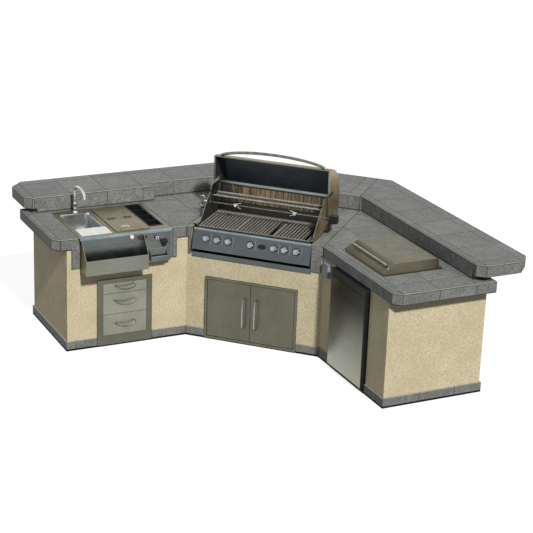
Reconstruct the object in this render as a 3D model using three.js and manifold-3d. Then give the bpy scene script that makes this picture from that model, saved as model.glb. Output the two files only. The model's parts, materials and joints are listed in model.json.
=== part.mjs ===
// Outdoor kitchen island: three stuccoed and tiled base sections in a shallow curve, with a raised bar,
// a built-in grill, a drinks station, drawers, doors, a side burner, a fridge and a socket.
// Millimetres, +Z up. The island is drawn from the middle of its centre front at floor level, with the
// front towards -Y, and is then moved so that the origin lies under the middle of its box.
import * as THREE from 'three';
import { mergeVertices } from 'three/addons/utils/BufferGeometryUtils.js';
import Module from 'manifold-3d';

const wasm = await Module();
wasm.setup();

// Clearances that all pieces share
const gap = 0.3;
const weld = 0.001;
const overrun = 30;
const runningClearance = 2;
const pinClearance = 0.6;
const wallRoom = 3;

// Structure
const counterHeight = 914;
const barRise = 127;
const boardThickness = 30;
const barSlab = 40;
const edgeDrop = 92;
const bullnose = 8;
const tileProud = 12;
const wallThickness = 40;
const partitionThickness = 24;
const floorThickness = 18;
const kickHeight = 80;
const counterDepth = 685;
const kneeDepth = 155;
const middleKneeDepth = 242;
const cornerSetback = 86;
const endOverhang = 95;
const barOverhang = 300;
const frontChamfer = 57;
const backChamfer = 100;
const wingTurn = Math.PI / 4;
const serviceHole = { inFromFront: 220, inFromBack: 420, aboveFloor: 150, height: 420 };

// Sheet metal and small hardware that several appliances share
const sheet = 3;
const handle = { radius: 6, standoff: 34, sides: 8, steps: 14 };
const hingeBarrel = { radius: 6, pin: 3, length: 46, ear: 5 };
const pivot = { radius: 4, length: 9, inset: 7, back: 5 };

// Drinks station in the left wing
const apron = { outer: 66, inner: 70, drop: 244, centreDrop: 222 };
const station = {
  innerMargin: 152, outerMargin: 114, proud: 35, backMargin: 60, apronDrop: 250, flange: 6, lap: 10,
  nose: 18, noseSteps: 4, cheekDepth: 90, rimLeft: 24, rimRight: 16, rimFront: 55, deck: 70,
};
const basin = { width: 246, depth: 180, ledge: 12, corner: 30, drain: 22 };
const board = { depth: 165, thickness: 14, clearance: 1.5, corner: 12, slot: 60, slotWidth: 18 };
const ice = { land: 32, width: 272, depth: 220, lap: 12, lidThickness: 8, splitFromBack: 292 };
const icePull = { half: 32, height: 24, radius: 4, acrossShare: 0.3, backShare: 0.12, kneeShare: 0.8 };
const tray = {
  land: 8, width: 128, depth: 80, rim: 8, wall: 3, cups: 4, corner: 8, frontInset: 50, backInset: 10,
};
const rail = { width: 505, reach: 105, drop: 262, frontHeight: 118, topDrop: 12, backDrop: 72 };
const faucet = {
  radius: 11, flangeRadius: 24, flangeHeight: 10, body: 40, collar: 15, height: 240, reach: 225, archRise: 48,
  tipDrop: 8, wall: 3, acrossShare: 0.583, swivel: 12, archSteps: 8, steps: 20, sides: 10,
};
// The fittings on the station's front are spread over the speed rail's width and the room to the right of it
const stationKnob = { radius: 17, depth: 20, railShare: 0.204, drop: 24, stem: 5, stemLength: 14 };
const peg = { radius: 19, neck: 7, depth: 22, roomShare: 0.457, drop: 47 };
const opener = { width: 52, height: 62, thickness: 7, hood: 26, roomShare: 0.738, below: 4 };
const catcher = { roomShares: [0.217, 0.851], height: 96, depth: 34, below: 6 };

// Drawer stack in the left wing
const drawers = {
  fromCorner: 288, width: 452, floorGap: 12, belowStation: 114, side: 45, top: 32, bottom: 78, spread: 7,
  faceFront: 2, linerDepth: 500, boxDepth: 455, frontThickness: 17, split: 3,
  heightShares: [0.2, 0.4, 0.4], boxHeightShare: 0.62, ledge: 26, ledgeThickness: 5, sideRoom: 12,
  pullShares: [0.235, 0.355, 0.415], pullHalf: 86, pullDroop: 26,
  curveShares: [[1, 0, 0], [0.94, 0.55, 0.12], [0.6, 0.92, 0.68], [0, 1, 1]],
};

// Grill in the centre section, with its heights taken from the counter top
const grill = {
  leftStrip: 35, width: 980, rightStrip: 95, cutBack: 640, lap: 10, rim: 10, wall: 4,
  frontWall: 62, frontTop: 8, backWall: 535, floorDrop: 190, runnerDrop: 236,
  sideRise: 248, sideFoot: 118, sideTop: 372, sideInset: 24, runnerLedge: 16,
  greaseHalf: 300, greaseFront: 170, greaseBack: 470,
};
const panel = {
  topDrop: 14, railBack: 58, railFront: 27, railDrop: 40, nose: 12, footFront: -5, drop: 178, returnDepth: 44,
  knobShare: 0.34, sheet: 3,
};
const knobs = {
  radius: 21, skirt: 25, depth: 27, stem: 4.5, stemLength: 24, bezel: 31, bezelDepth: 4,
  placeShares: [-0.381, -0.288, -0.194, -0.008, 0.186, 0.277, 0.376], sides: 16, pointer: 3,
};
const gas = {
  pipe: 8, valve: 7, valveLength: 12, burner: 15, burnerCount: 5, burnerBack: 470, burnerSides: 8,
};
const grates = { count: 3, rods: 12, rod: 9, thickness: 12, between: 3, top: 6, ledge: 14, frame: 14 };
const heatPlate = { drop: 66, rise: 26, sheet: 3, halfWidth: 44, tie: 16, ledge: 14 };
const rearBurner = { depth: 34, windowHalf: 440, windowBottom: 70, windowTop: 222, recess: 14 };
const rack = { front: 392, back: 488, height: 150, rod: 5, rods: 13, ledge: 12, tube: 7 };
const spit = {
  back: 322, height: 112, radius: 6, sides: 10, leftReach: 16, slot: 9, hub: 15, forkReach: 46, forkRadius: 4,
  loopLength: 44, loopHalf: 46, loopRadius: 4, ball: 11,
  loopShares: [[0, 0.87], [0.55, 1], [0.9, 0.65], [1, 0], [0.9, -0.65], [0.55, -1], [0, -0.87]],
};
const motor = { width: 66, depth: 58, height: 62, plate: 5, sideGap: 38, boss: 12 };
const hood = {
  pivotBack: 505, pivotUp: 71, wall: 8, endWall: 12, openAngle: 88 * Math.PI / 180, lipFront: 112, lipUp: 14,
  pin: 8, endClearance: 3,
  backRoom: 6, height: 274, earBack: 45, earFront: 12,
  outlineShares: [[0, 0], [0.013, 0.2], [0.052, 0.416], [0.127, 0.628], [0.24, 0.81], [0.402, 0.942],
    [0.576, 1], [0.751, 1], [0.895, 0.965], [0.975, 0.885], [1, 0.74], [1, 0.562]],
};
const hoodHandle = { radius: 12.5, half: 432, up: 30, bow: 58, fullness: 1.3, steps: 24, sides: 10 };
const dripTray = {
  topDrop: 207, bottomDrop: 250, front: 14, barThickness: 14, depth: 500, clearance: 2, lip: 12, pan: 20,
  sheet: 3,
};

// Doors under the grill
const doors = {
  offset: -14, width: 760, floorGap: 8, belowGrill: 142, border: 18, face: 2, thickness: 18, clearance: 3.5,
  split: 4, handleHalf: 126, handleFromSplit: 50, handleBow: 44, linerDepth: 46,
};

// Right wing: side burner, fridge and socket
const burner = {
  innerMargin: 141, width: 600, outerMargin: 276, frontMargin: 105, backMargin: 95,
  flange: 8, lap: 10, wall: 3, depth: 88, ledge: 10, headRadius: 46, headHeight: 34, headSpacing: 270,
  grateRod: 10, grateThickness: 10, grateRods: 3,
};
const burnerLid = {
  frontInset: 2, slope: 88, height: 70, hem: 5, sheet: 3, sideSlope: 14, backInset: 14, handleShare: 0.6,
  handleInset: 60, handleRadius: 7, standoff: 24,
};
const fridge = {
  fromCorner: 200, width: 535, top: 96, wall: 26, depth: 560, front: 12, band: 56, bandReach: 28,
  doorBottom: 46, doorThickness: 34, clearance: 3, ledge: 12, plinth: 70,
  shelfThickness: 8, shelfUpShare: 0.52, rods: 9, rod: 5, lock: 8, lockProud: 3, lockShare: 0.45,
};
const socket = { fromCorner: 38, width: 86, height: 112, top: 111, plate: 7, coverDepth: 22, border: 8 };

// Sizes that follow from the driving ones
const stationWidth = station.rimLeft + basin.width + ice.land + ice.width + tray.land + tray.width
  + station.rimRight;
const leftLength = station.innerMargin + stationWidth + station.outerMargin;
const rightLength = burner.innerMargin + burner.width + burner.outerMargin;
const frontWidth = grill.leftStrip + grill.width + grill.rightStrip;
const grillMiddle = grill.leftStrip + grill.width / 2 - frontWidth / 2;
const baseDepth = counterDepth + kneeDepth;
const middleDepth = baseDepth / Math.cos(wingTurn);
const middleRiser = middleDepth - middleKneeDepth;
const cavityTop = counterHeight - boardThickness - gap;
const barTop = counterHeight + barRise;
const hoodDepth = hood.pivotBack + hood.pivotUp - hood.lipFront - grill.rim - hood.backRoom;
const kneeTop = barTop - barSlab - gap;
const seam = frontWidth / 2 + tileProud * Math.tan(wingTurn / 2);
const far = leftLength + rightLength + frontWidth + middleDepth;

// Turns a closed three.js geometry into a solid whose faces point out
function solid(geometry) {
  const bare = geometry.clone();
  bare.deleteAttribute('normal');
  bare.deleteAttribute('uv');
  const merged = mergeVertices(bare, weld);
  const corners = Float32Array.from(merged.attributes.position.array);
  const triangles = Uint32Array.from(merged.index.array);
  if (signedVolume(corners, triangles) < 0) triangles.reverse();
  return new wasm.Manifold(new wasm.Mesh({ numProp: 3, vertProperties: corners, triVerts: triangles }));
}

function signedVolume(corners, triangles) {
  const [a, b, c] = [new THREE.Vector3(), new THREE.Vector3(), new THREE.Vector3()];
  let total = 0;
  for (let i = 0; i < triangles.length; i += 3) {
    a.fromArray(corners, triangles[i] * 3);
    b.fromArray(corners, triangles[i + 1] * 3);
    c.fromArray(corners, triangles[i + 2] * 3);
    total += a.dot(b.cross(c));
  }
  return total;
}

function extruded(points, depth, options = {}) {
  const shape = new THREE.Shape(points.map(([x, y]) => new THREE.Vector2(x, y)));
  return new THREE.ExtrudeGeometry(shape, { depth, bevelEnabled: false, ...options });
}

// A plan outline raised from one height to another
function prism(points, bottom, top) {
  return solid(extruded(points, top - bottom).translate(0, 0, bottom));
}

// A plan outline raised as a board whose top and bottom edges are rounded over
function edgedBoard(points, bottom, top) {
  const round = { bevelEnabled: true, bevelThickness: bullnose, bevelSize: bullnose, bevelOffset: -bullnose,
    bevelSegments: 2 };
  return solid(extruded(points, top - bottom - 2 * bullnose, round).translate(0, 0, bottom + bullnose));
}

// A side view in Y and Z carried along X
const sideView = new THREE.Matrix4().makeBasis(
  new THREE.Vector3(0, 1, 0), new THREE.Vector3(0, 0, 1), new THREE.Vector3(1, 0, 0));
function acrossX(points, from, to) {
  return solid(extruded(points, to - from).applyMatrix4(sideView).translate(from, 0, 0));
}

// A front view in X and Z carried along Y
const frontView = new THREE.Matrix4().makeBasis(
  new THREE.Vector3(1, 0, 0), new THREE.Vector3(0, 0, 1), new THREE.Vector3(0, -1, 0));
function acrossY(points, from, to) {
  return solid(extruded(points, to - from).applyMatrix4(frontView).translate(0, to, 0));
}

function rectangle(x0, x1, y0, y1) {
  return [[x0, y0], [x1, y0], [x1, y1], [x0, y1]];
}

function roundedRectangle(x0, x1, y0, y1, radius, steps = 3) {
  const corners = rectangle(x0 + radius, x1 - radius, y0 + radius, y1 - radius);
  return corners.flatMap(([x, y], corner) => Array.from({ length: steps + 1 }, (_, i) => {
    const angle = (corner + 2 + i / steps) * Math.PI / 2;
    return [x + radius * Math.cos(angle), y + radius * Math.sin(angle)];
  }));
}

function block(x0, x1, y0, y1, z0, z1) {
  return prism(rectangle(x0, x1, y0, y1), z0, z1);
}

// A round bar from one point to another
function rod(from, to, radius, sides = 8, frame = new THREE.Matrix4()) {
  const start = new THREE.Vector3(...from);
  const run = new THREE.Vector3(...to).sub(start);
  const bar = new THREE.CylinderGeometry(radius, radius, run.length(), sides, 1);
  const turn = new THREE.Quaternion().setFromUnitVectors(new THREE.Vector3(0, 1, 0), run.clone().normalize());
  return solid(bar.applyQuaternion(turn).translate(...start.addScaledVector(run,
    1 / 2).toArray()).applyMatrix4(frame));
}

// A round tube bent smoothly through its points
function bentTube(points, radius, sides, steps) {
  const path = new THREE.CatmullRomCurve3(points.map((point) => new THREE.Vector3(...point)), false,
    'centripetal');
  const ring = Array.from({ length: sides }, (_, i) => {
    const angle = 2 * Math.PI * i / sides;
    return [radius * Math.cos(angle), radius * Math.sin(angle)];
  });
  return solid(extruded(ring, 1, { extrudePath: path, steps }));
}

// A turned piece: its profile is [radius, distance] along the named axis from the given point
const turnedAxes = {
  up: new THREE.Matrix4().makeRotationX(Math.PI / 2),
  front: new THREE.Matrix4().makeRotationX(Math.PI),
  right: new THREE.Matrix4().makeRotationZ(-Math.PI / 2),
};
function turned(profile, axis, at, sides = 16, frame = new THREE.Matrix4()) {
  const lathe = new THREE.LatheGeometry(profile.map(([radius, along]) => new THREE.Vector2(radius, along)),
    sides);
  return solid(lathe.applyMatrix4(turnedAxes[axis]).translate(...at).applyMatrix4(frame));
}

// A bent sheet in section: the centre of bend lies to the left of the run, the thickness to its right
function ribbon(points, thickness) {
  const side = points.map((point, i) => {
    const before = points[Math.max(i - 1, 0)];
    const after = points[Math.min(i + 1, points.length - 1)];
    const into = unit(before, point) ?? unit(point, after);
    const out = unit(point, after) ?? into;
    const bisector = [into[0] + out[0], into[1] + out[1]];
    const stretch = 2 / (bisector[0] ** 2 + bisector[1] ** 2);
    return [point[0] + bisector[1] * stretch * thickness, point[1] - bisector[0] * stretch * thickness];
  });
  return [...points, ...side.reverse()];
}

function unit(from, to) {
  const run = [to[0] - from[0], to[1] - from[1]];
  const length = Math.hypot(...run);
  return length > weld ? [run[0] / length, run[1] / length] : null;
}

function joined(...solids) {
  return solids.reduce((whole, piece) => whole.add(piece));
}

function repeat(count, make) {
  return joined(...Array.from({ length: count }, (_, i) => make(i)));
}

// A hinge in two parts on a line along X: ears with a pin, whose feet sink into the fixed plate behind, and a
// bored barrel with a leaf towards the front, which sinks by its own drop into the moving plate
function hinge(middle, y, z, reach, leafDrop) {
  const { radius, pin, length, ear } = hingeBarrel;
  const half = length / 2;
  const earFoot = (x) => block(x, x + ear, y, y + reach, z - radius - sheet, z)
    .add(turned([[0, 0], [radius, 0], [radius, ear], [0, ear]], 'right', [x, y, z], 12));
  const fixed = joined(earFoot(middle - half - gap - ear), earFoot(middle + half + gap),
    rod([middle - half - ear, y, z], [middle + half + ear, y, z], pin));
  const leaf = block(middle - half, middle + half, y - reach, y, z - radius - leafDrop, z - radius / 2);
  const moving = turned([[0, 0], [radius, 0], [radius, length], [0, length]], 'right', [middle - half, y, z],
    12)
    .add(leaf).subtract(rod([middle - length, y, z], [middle + length, y, z], pin + pinClearance));
  return { fixed, moving };
}

// Colours, roughness and metalness of the finishes
const finishes = {
  stucco: { color: 0xd2c29a, roughness: 0.95, metalness: 0 },
  tile: { color: 0x7d8084, roughness: 0.7, metalness: 0 },
  steel: { color: 0x8f8f84, roughness: 0.35, metalness: 0.9 },
  chrome: { color: 0xd8d8d8, roughness: 0.12, metalness: 1 },
  castIron: { color: 0x2e2e2e, roughness: 0.75, metalness: 0.4 },
  blackPlastic: { color: 0x17181a, roughness: 0.5, metalness: 0 },
  whitePlastic: { color: 0xf2f2ee, roughness: 0.5, metalness: 0 },
  greyPlastic: { color: 0x9ea3ab, roughness: 0.55, metalness: 0 },
};

const island = new THREE.Group();
const leftWing = new THREE.Group();
leftWing.position.set(-frontWidth / 2, 0, 0);
leftWing.rotation.z = wingTurn;
const rightWing = new THREE.Group();
rightWing.position.set(frontWidth / 2, 0, 0);
rightWing.rotation.z = -wingTurn;
const middle = new THREE.Group();
middle.position.set(grillMiddle, 0, counterHeight);
island.add(leftWing, rightWing, middle);

function add(parent, name, piece, finish) {
  const { vertProperties, triVerts } = piece.getMesh();
  const geometry = new THREE.BufferGeometry();
  geometry.setAttribute('position', new THREE.BufferAttribute(Float32Array.from(vertProperties), 3));
  geometry.setIndex(new THREE.BufferAttribute(Uint32Array.from(triVerts), 1));
  geometry.computeVertexNormals();
  const mesh = new THREE.Mesh(geometry, new THREE.MeshStandardMaterial(finishes[finish]));
  mesh.name = name;
  parent.add(mesh);
}

// Lines of the plan: a wing's run at a depth behind its front line, its end, and the centre's run
const leftAlong = [Math.cos(wingTurn), Math.sin(wingTurn)];
const leftBack = [-Math.sin(wingTurn), Math.cos(wingTurn)];
const rightAlong = [Math.cos(wingTurn), -Math.sin(wingTurn)];
const rightBack = [Math.sin(wingTurn), Math.cos(wingTurn)];

function wingPoint(sign, along, back, x, y) {
  return [sign * frontWidth / 2 + along[0] * x + back[0] * y, along[1] * x + back[1] * y];
}
const leftPoint = (x, y) => wingPoint(-1, leftAlong, leftBack, x, y);
const rightPoint = (x, y) => wingPoint(1, rightAlong, rightBack, x, y);
const leftRun = (depth) => ({ at: leftPoint(0, depth), run: leftAlong });
const rightRun = (depth) => ({ at: rightPoint(0, depth), run: rightAlong });
const leftCross = (length) => ({ at: leftPoint(-length, 0), run: leftBack });
const rightCross = (length) => ({ at: rightPoint(length, 0), run: rightBack });
const middleRun = (depth) => ({ at: [0, depth], run: [1, 0] });

function crossing(a, b) {
  const [dx, dy] = [b.at[0] - a.at[0], b.at[1] - a.at[1]];
  const share = (dx * b.run[1] - dy * b.run[0]) / (a.run[0] * b.run[1] - a.run[1] * b.run[0]);
  return [a.at[0] + a.run[0] * share, a.at[1] + a.run[1] * share];
}

// The outline whose corners are where each line meets the next
function outline(lines) {
  return lines.map((line, i) => crossing(line, lines[(i + 1) % lines.length]));
}

// A band that follows the island from the front line to the back line, past the two ends by the given length.
// With a step, its front line is set back in the left corner, from that distance out along the left wing
function band({ past, front, middleFront, back, middleBack, step = null }) {
  const leftFront = step === null
    ? [leftRun(front)]
    : [leftRun(front), leftCross(step), leftRun(front + cornerSetback)];
  return outline([leftCross(leftLength + past), ...leftFront, middleRun(middleFront), rightRun(front),
    rightCross(rightLength + past), rightRun(back), middleRun(middleBack), leftRun(back)]);
}

function inset(depth) {
  return band({ past: -depth, front: depth, middleFront: depth, back: baseDepth - depth,
    middleBack: middleDepth - depth });
}

// Cuts an outline's corner at equal lengths along its two sides
function chamfered(points, index, length) {
  const corner = points[index];
  const before = unit(corner, points[(index + points.length - 1) % points.length]);
  const after = unit(corner, points[(index + 1) % points.length]);
  const cut = [before, after].map(([x, y]) => [corner[0] + x * length, corner[1] + y * length]);
  return [...points.slice(0, index), ...cut, ...points.slice(index + 1)];
}

// Parts of a whole that lie left of, between and right of the two seams
function sections(whole) {
  const cut = seam + gap / 2;
  const middlePart = block(-seam + gap / 2, seam - gap / 2, -far, far, -far, far);
  return {
    left: whole.intersect(block(-far, -cut, -far, far, -far, far)),
    center: whole.intersect(middlePart),
    right: whole.intersect(block(cut, far, -far, far, -far, far)),
  };
}

// A box in a wing's own frame, as a plan outline
const leftBox = (x0, x1, y0, y1, z0,
  z1) => prism([leftPoint(x0, y0), leftPoint(x1, y0), leftPoint(x1, y1), leftPoint(x0, y1)], z0, z1);
const rightBox = (x0, x1, y0, y1, z0,
  z1) => prism([rightPoint(x0, y0), rightPoint(x1, y0), rightPoint(x1, y1), rightPoint(x0, y1)], z0, z1);

// Where the appliances stand, in the frames of their sections
const stationBox = { x0: -station.innerMargin - stationWidth, x1: -station.innerMargin, y0: -station.proud,
  y1: counterDepth - station.backMargin };
const stationFloor = counterHeight - station.apronDrop;
const drawerBox = {
  x0: -drawers.fromCorner - drawers.width, x1: -drawers.fromCorner,
  z0: drawers.floorGap, z1: stationFloor - drawers.belowStation,
};
const grillBox = { x0: grillMiddle - grill.width / 2, x1: grillMiddle + grill.width / 2 };
const grillFloor = counterHeight - dripTray.bottomDrop;
const doorBox = {
  x0: doors.offset - doors.width / 2, x1: doors.offset + doors.width / 2,
  z0: doors.floorGap, z1: grillFloor - doors.belowGrill,
};
const burnerBox = { x0: burner.innerMargin, x1: burner.innerMargin + burner.width, y0: burner.frontMargin,
  y1: counterDepth - burner.backMargin };
const fridgeBox = { x0: fridge.fromCorner, x1: fridge.fromCorner + fridge.width, z0: floorThickness + gap,
  z1: counterHeight - fridge.top };

// Base shells: stuccoed walls with a floor sheet, the knee wall behind, and openings for the appliances
function baseShells() {
  const kneeFront = counterDepth + tileProud + gap;
  const knee = band({
    past: -tileProud, front: kneeFront, middleFront: middleRiser + tileProud + gap,
      back: baseDepth - tileProud,
    middleBack: middleDepth - tileProud, step: tileProud + gap,
  });
  const inside = tileProud + wallThickness;
  const openRoom = band({
    past: -inside, front: inside, middleFront: inside, back: kneeFront, middleBack: middleRiser + tileProud,
  });
  const inFront = -overrun;
  const behindWall = inside + overrun;
  const linerRoom = drawers.spread + sheet + wallRoom;
  const openings = joined(
    leftBox(stationBox.x0 - gap, stationBox.x1 + gap, inFront, behindWall, stationFloor - gap, counterHeight),
    leftBox(drawerBox.x0 + drawers.side - linerRoom, drawerBox.x1 - drawers.side + linerRoom, inFront,
      behindWall,
      drawerBox.z0 + drawers.bottom - linerRoom, drawerBox.z1 - drawers.top + linerRoom),
    block(grillBox.x0 - gap, grillBox.x1 + gap, inFront, behindWall, grillFloor - runningClearance,
      counterHeight),
    block(doorBox.x0 + doors.border - sheet - wallRoom, doorBox.x1 - doors.border + sheet + wallRoom,
      inFront, behindWall,
      floorThickness, doorBox.z1 - doors.border + sheet + wallRoom),
    rightBox(fridgeBox.x0 + gap, fridgeBox.x1 - gap, inFront, behindWall, floorThickness,
      fridgeBox.z1 + runningClearance),
  );
  const partitions = joined(...[-1, 1].map((side) => {
    const [from, to] = [side * (seam - partitionThickness), side * seam].sort((a, b) => a - b);
    const sheetWall = block(from, to, inside - gap, middleDepth - inside + gap, floorThickness - gap,
      cavityTop - wallThickness);
    return sheetWall.subtract(block(-far, far, serviceHole.inFromFront, middleDepth - serviceHole.inFromBack,
      serviceHole.aboveFloor, serviceHole.aboveFloor + serviceHole.height));
  }));
  const whole = prism(inset(tileProud), 0, cavityTop)
    .add(prism(knee, cavityTop - wallThickness, kneeTop))
    .subtract(prism(inset(inside), floorThickness, cavityTop - wallThickness))
    .subtract(prism(openRoom, floorThickness, cavityTop + overrun))
    .subtract(openings)
    .add(partitions);
  const parts = sections(whole);
  add(island, 'base_left', parts.left, 'stucco');
  add(island, 'base_center', parts.center, 'stucco');
  add(island, 'base_right', parts.right, 'stucco');
}

// Tiled kick round the foot, broken by the drawer stack, the doors and the fridge
function kickTiles() {
  const ring = prism(inset(0), 0, kickHeight)
    .subtract(prism(inset(tileProud - gap), -overrun, kickHeight + overrun));
  const inFront = -overrun;
  const behind = tileProud + overrun;
  const cleared = ring
    .subtract(leftBox(drawerBox.x0 - gap, drawerBox.x1 + gap, inFront, behind, -overrun,
      kickHeight + overrun))
    .subtract(block(doorBox.x0 - gap, doorBox.x1 + gap, inFront, behind, -overrun, kickHeight + overrun))
    .subtract(rightBox(fridgeBox.x0 - gap, fridgeBox.x1 + gap, inFront, behind, -overrun,
      kickHeight + overrun));
  const nearLeft = leftBox(drawerBox.x1, counterDepth, inFront, behind, -overrun, kickHeight + overrun)
    .add(block(-seam, doorBox.x0, inFront, behind, -overrun, kickHeight + overrun));
  const nearRight = rightBox(-counterDepth, fridgeBox.x0, inFront, behind, -overrun, kickHeight + overrun)
    .add(block(doorBox.x1, seam, inFront, behind, -overrun, kickHeight + overrun));
  const outer = cleared.subtract(nearLeft).subtract(nearRight);
  add(island, 'kick_inner_left', cleared.intersect(nearLeft), 'tile');
  add(island, 'kick_inner_right', cleared.intersect(nearRight), 'tile');
  add(island, 'kick_outer_left', outer.intersect(block(-far, -gap / 2, -far, far, -far, far)), 'tile');
  add(island, 'kick_outer_right', outer.intersect(block(gap / 2, far, -far, far, -far, far)), 'tile');
}

// Tiled counters: a board over each base with a deep edge in front and past the ends, cut for the appliances
function counters() {
  const plain = band({ past: endOverhang, front: 0, middleFront: 0, back: baseDepth,
    middleBack: middleDepth });
  const rightCut = chamfered(plain, 3, frontChamfer);
  const shape = chamfered(rightCut, 0, frontChamfer);
  const below = counterHeight - edgeDrop;
  const overBase = prism(inset(tileProud - gap), below - overrun, counterHeight - boardThickness);
  const behindRiser = prism(band({
    past: gap - tileProud, front: counterDepth + tileProud, middleFront: middleRiser + tileProud,
    back: baseDepth + overrun, middleBack: middleDepth + overrun, step: tileProud,
  }), below - overrun, counterHeight + overrun);
  const inFront = -overrun;
  const top = counterHeight + overrun;
  const cuts = joined(
    leftBox(stationBox.x0 - gap, stationBox.x1 + gap, inFront, stationBox.y1 + gap, below - overrun, top),
    block(grillBox.x0 - gap, grillBox.x1 + gap, inFront, grill.cutBack, below - overrun, top),
    rightBox(burnerBox.x0 - gap, burnerBox.x1 + gap, burnerBox.y0 - gap, burnerBox.y1 + gap, below - overrun,
      top),
  );
  const face = tileProud - gap;
  const hangsTo = counterHeight - apron.drop;
  const centreHangsTo = counterHeight - apron.centreDrop;
  const skirtTop = counterHeight - boardThickness;
  const aprons = joined(
    leftBox(stationBox.x0 - apron.outer, stationBox.x0 - gap, 0, face, hangsTo, skirtTop),
    leftBox(stationBox.x1 + gap, stationBox.x1 + apron.inner, 0, face, hangsTo, skirtTop),
    block(-frontWidth / 2 + face, grillBox.x0 - gap, 0, face, centreHangsTo, skirtTop),
    block(grillBox.x1 + gap, frontWidth / 2 - face, 0, face, centreHangsTo, skirtTop),
  );
  const whole = edgedBoard(shape, below, counterHeight).subtract(overBase).subtract(behindRiser)
    .subtract(cuts).add(aprons);
  const parts = sections(whole);
  add(island, 'counter_left', parts.left, 'tile');
  add(island, 'counter_center', parts.center, 'tile');
  add(island, 'counter_right', parts.right, 'tile');
}

// Raised bar: riser tiles in front, a board over the knee wall and a deep overhang behind it
function bars() {
  const overhang = { back: baseDepth + barOverhang, middleBack: middleDepth + barOverhang };
  const plain = band({ past: endOverhang, front: counterDepth, middleFront: middleRiser, ...overhang,
    step: 0 });
  const backCut = chamfered(plain, 9, backChamfer);
  const rightBackCut = chamfered(backCut, 6, backChamfer);
  const rightCut = chamfered(rightBackCut, 5, frontChamfer);
  const shape = chamfered(rightCut, 0, frontChamfer);
  const overKnee = prism(band({
    past: gap - tileProud, front: counterDepth + tileProud, middleFront: middleRiser + tileProud,
    back: baseDepth - tileProud + gap, middleBack: middleDepth - tileProud + gap, step: tileProud,
  }), counterHeight - overrun, barTop - barSlab);
  const underOverhang = prism(band({
    past: endOverhang + overrun,
    front: baseDepth - tileProud + gap, middleFront: middleDepth - tileProud + gap,
    back: overhang.back + overrun, middleBack: overhang.middleBack + overrun,
  }), counterHeight - overrun, barTop - edgeDrop);
  const pastEnd = endOverhang + overrun;
  const underEnds = joined(
    leftBox(-leftLength - pastEnd, -leftLength, counterDepth - overrun, baseDepth + overrun,
      counterHeight - overrun, barTop - edgeDrop),
    rightBox(rightLength, rightLength + pastEnd, counterDepth - overrun, baseDepth + overrun,
      counterHeight - overrun, barTop - edgeDrop),
  );
  const whole = edgedBoard(shape, counterHeight + gap, barTop).subtract(overKnee).subtract(underOverhang)
    .subtract(underEnds);
  const parts = sections(whole);
  add(island, 'bar_left', parts.left, 'tile');
  add(island, 'bar_center', parts.center, 'tile');
  add(island, 'bar_right', parts.right, 'tile');
}

// Places on the drinks station's deck, whose heights are taken from the counter top
const deckTop = station.flange;
const wellFront = stationBox.y0 + station.rimFront;
const basinPlace = [stationBox.x0 + station.rimLeft, stationBox.x0 + station.rimLeft + basin.width,
  wellFront, stationBox.y1 - station.deck];
const icePlace = [basinPlace[1] + ice.land, basinPlace[1] + ice.land + ice.width, wellFront,
  stationBox.y1 - ice.lap];
const trayFrom = icePlace[1] + tray.land;
const trayPlace = [trayFrom, trayFrom + tray.width, wellFront + tray.frontInset,
  stationBox.y1 - tray.backInset];
const railEnd = stationBox.x0 + rail.width;
const besideRail = (share) => railEnd + (stationBox.x1 - railEnd) * share;
const knobX = railEnd - rail.width * stationKnob.railShare;
const openerDrop = peg.drop + peg.radius + opener.below;
const catcherDrop = openerDrop + opener.height + catcher.below;
const boardSeat = deckTop - board.thickness;
const station3d = new THREE.Group();
station3d.position.z = counterHeight;
leftWing.add(station3d);

const shrunk = ([x0, x1, y0, y1], by) => [x0 + by, x1 - by, y0 + by, y1 - by];
const roundedBox = ([x0, x1, y0, y1], corner, bottom, top) => prism(roundedRectangle(x0, x1, y0, y1, corner),
  bottom, top);

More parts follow.
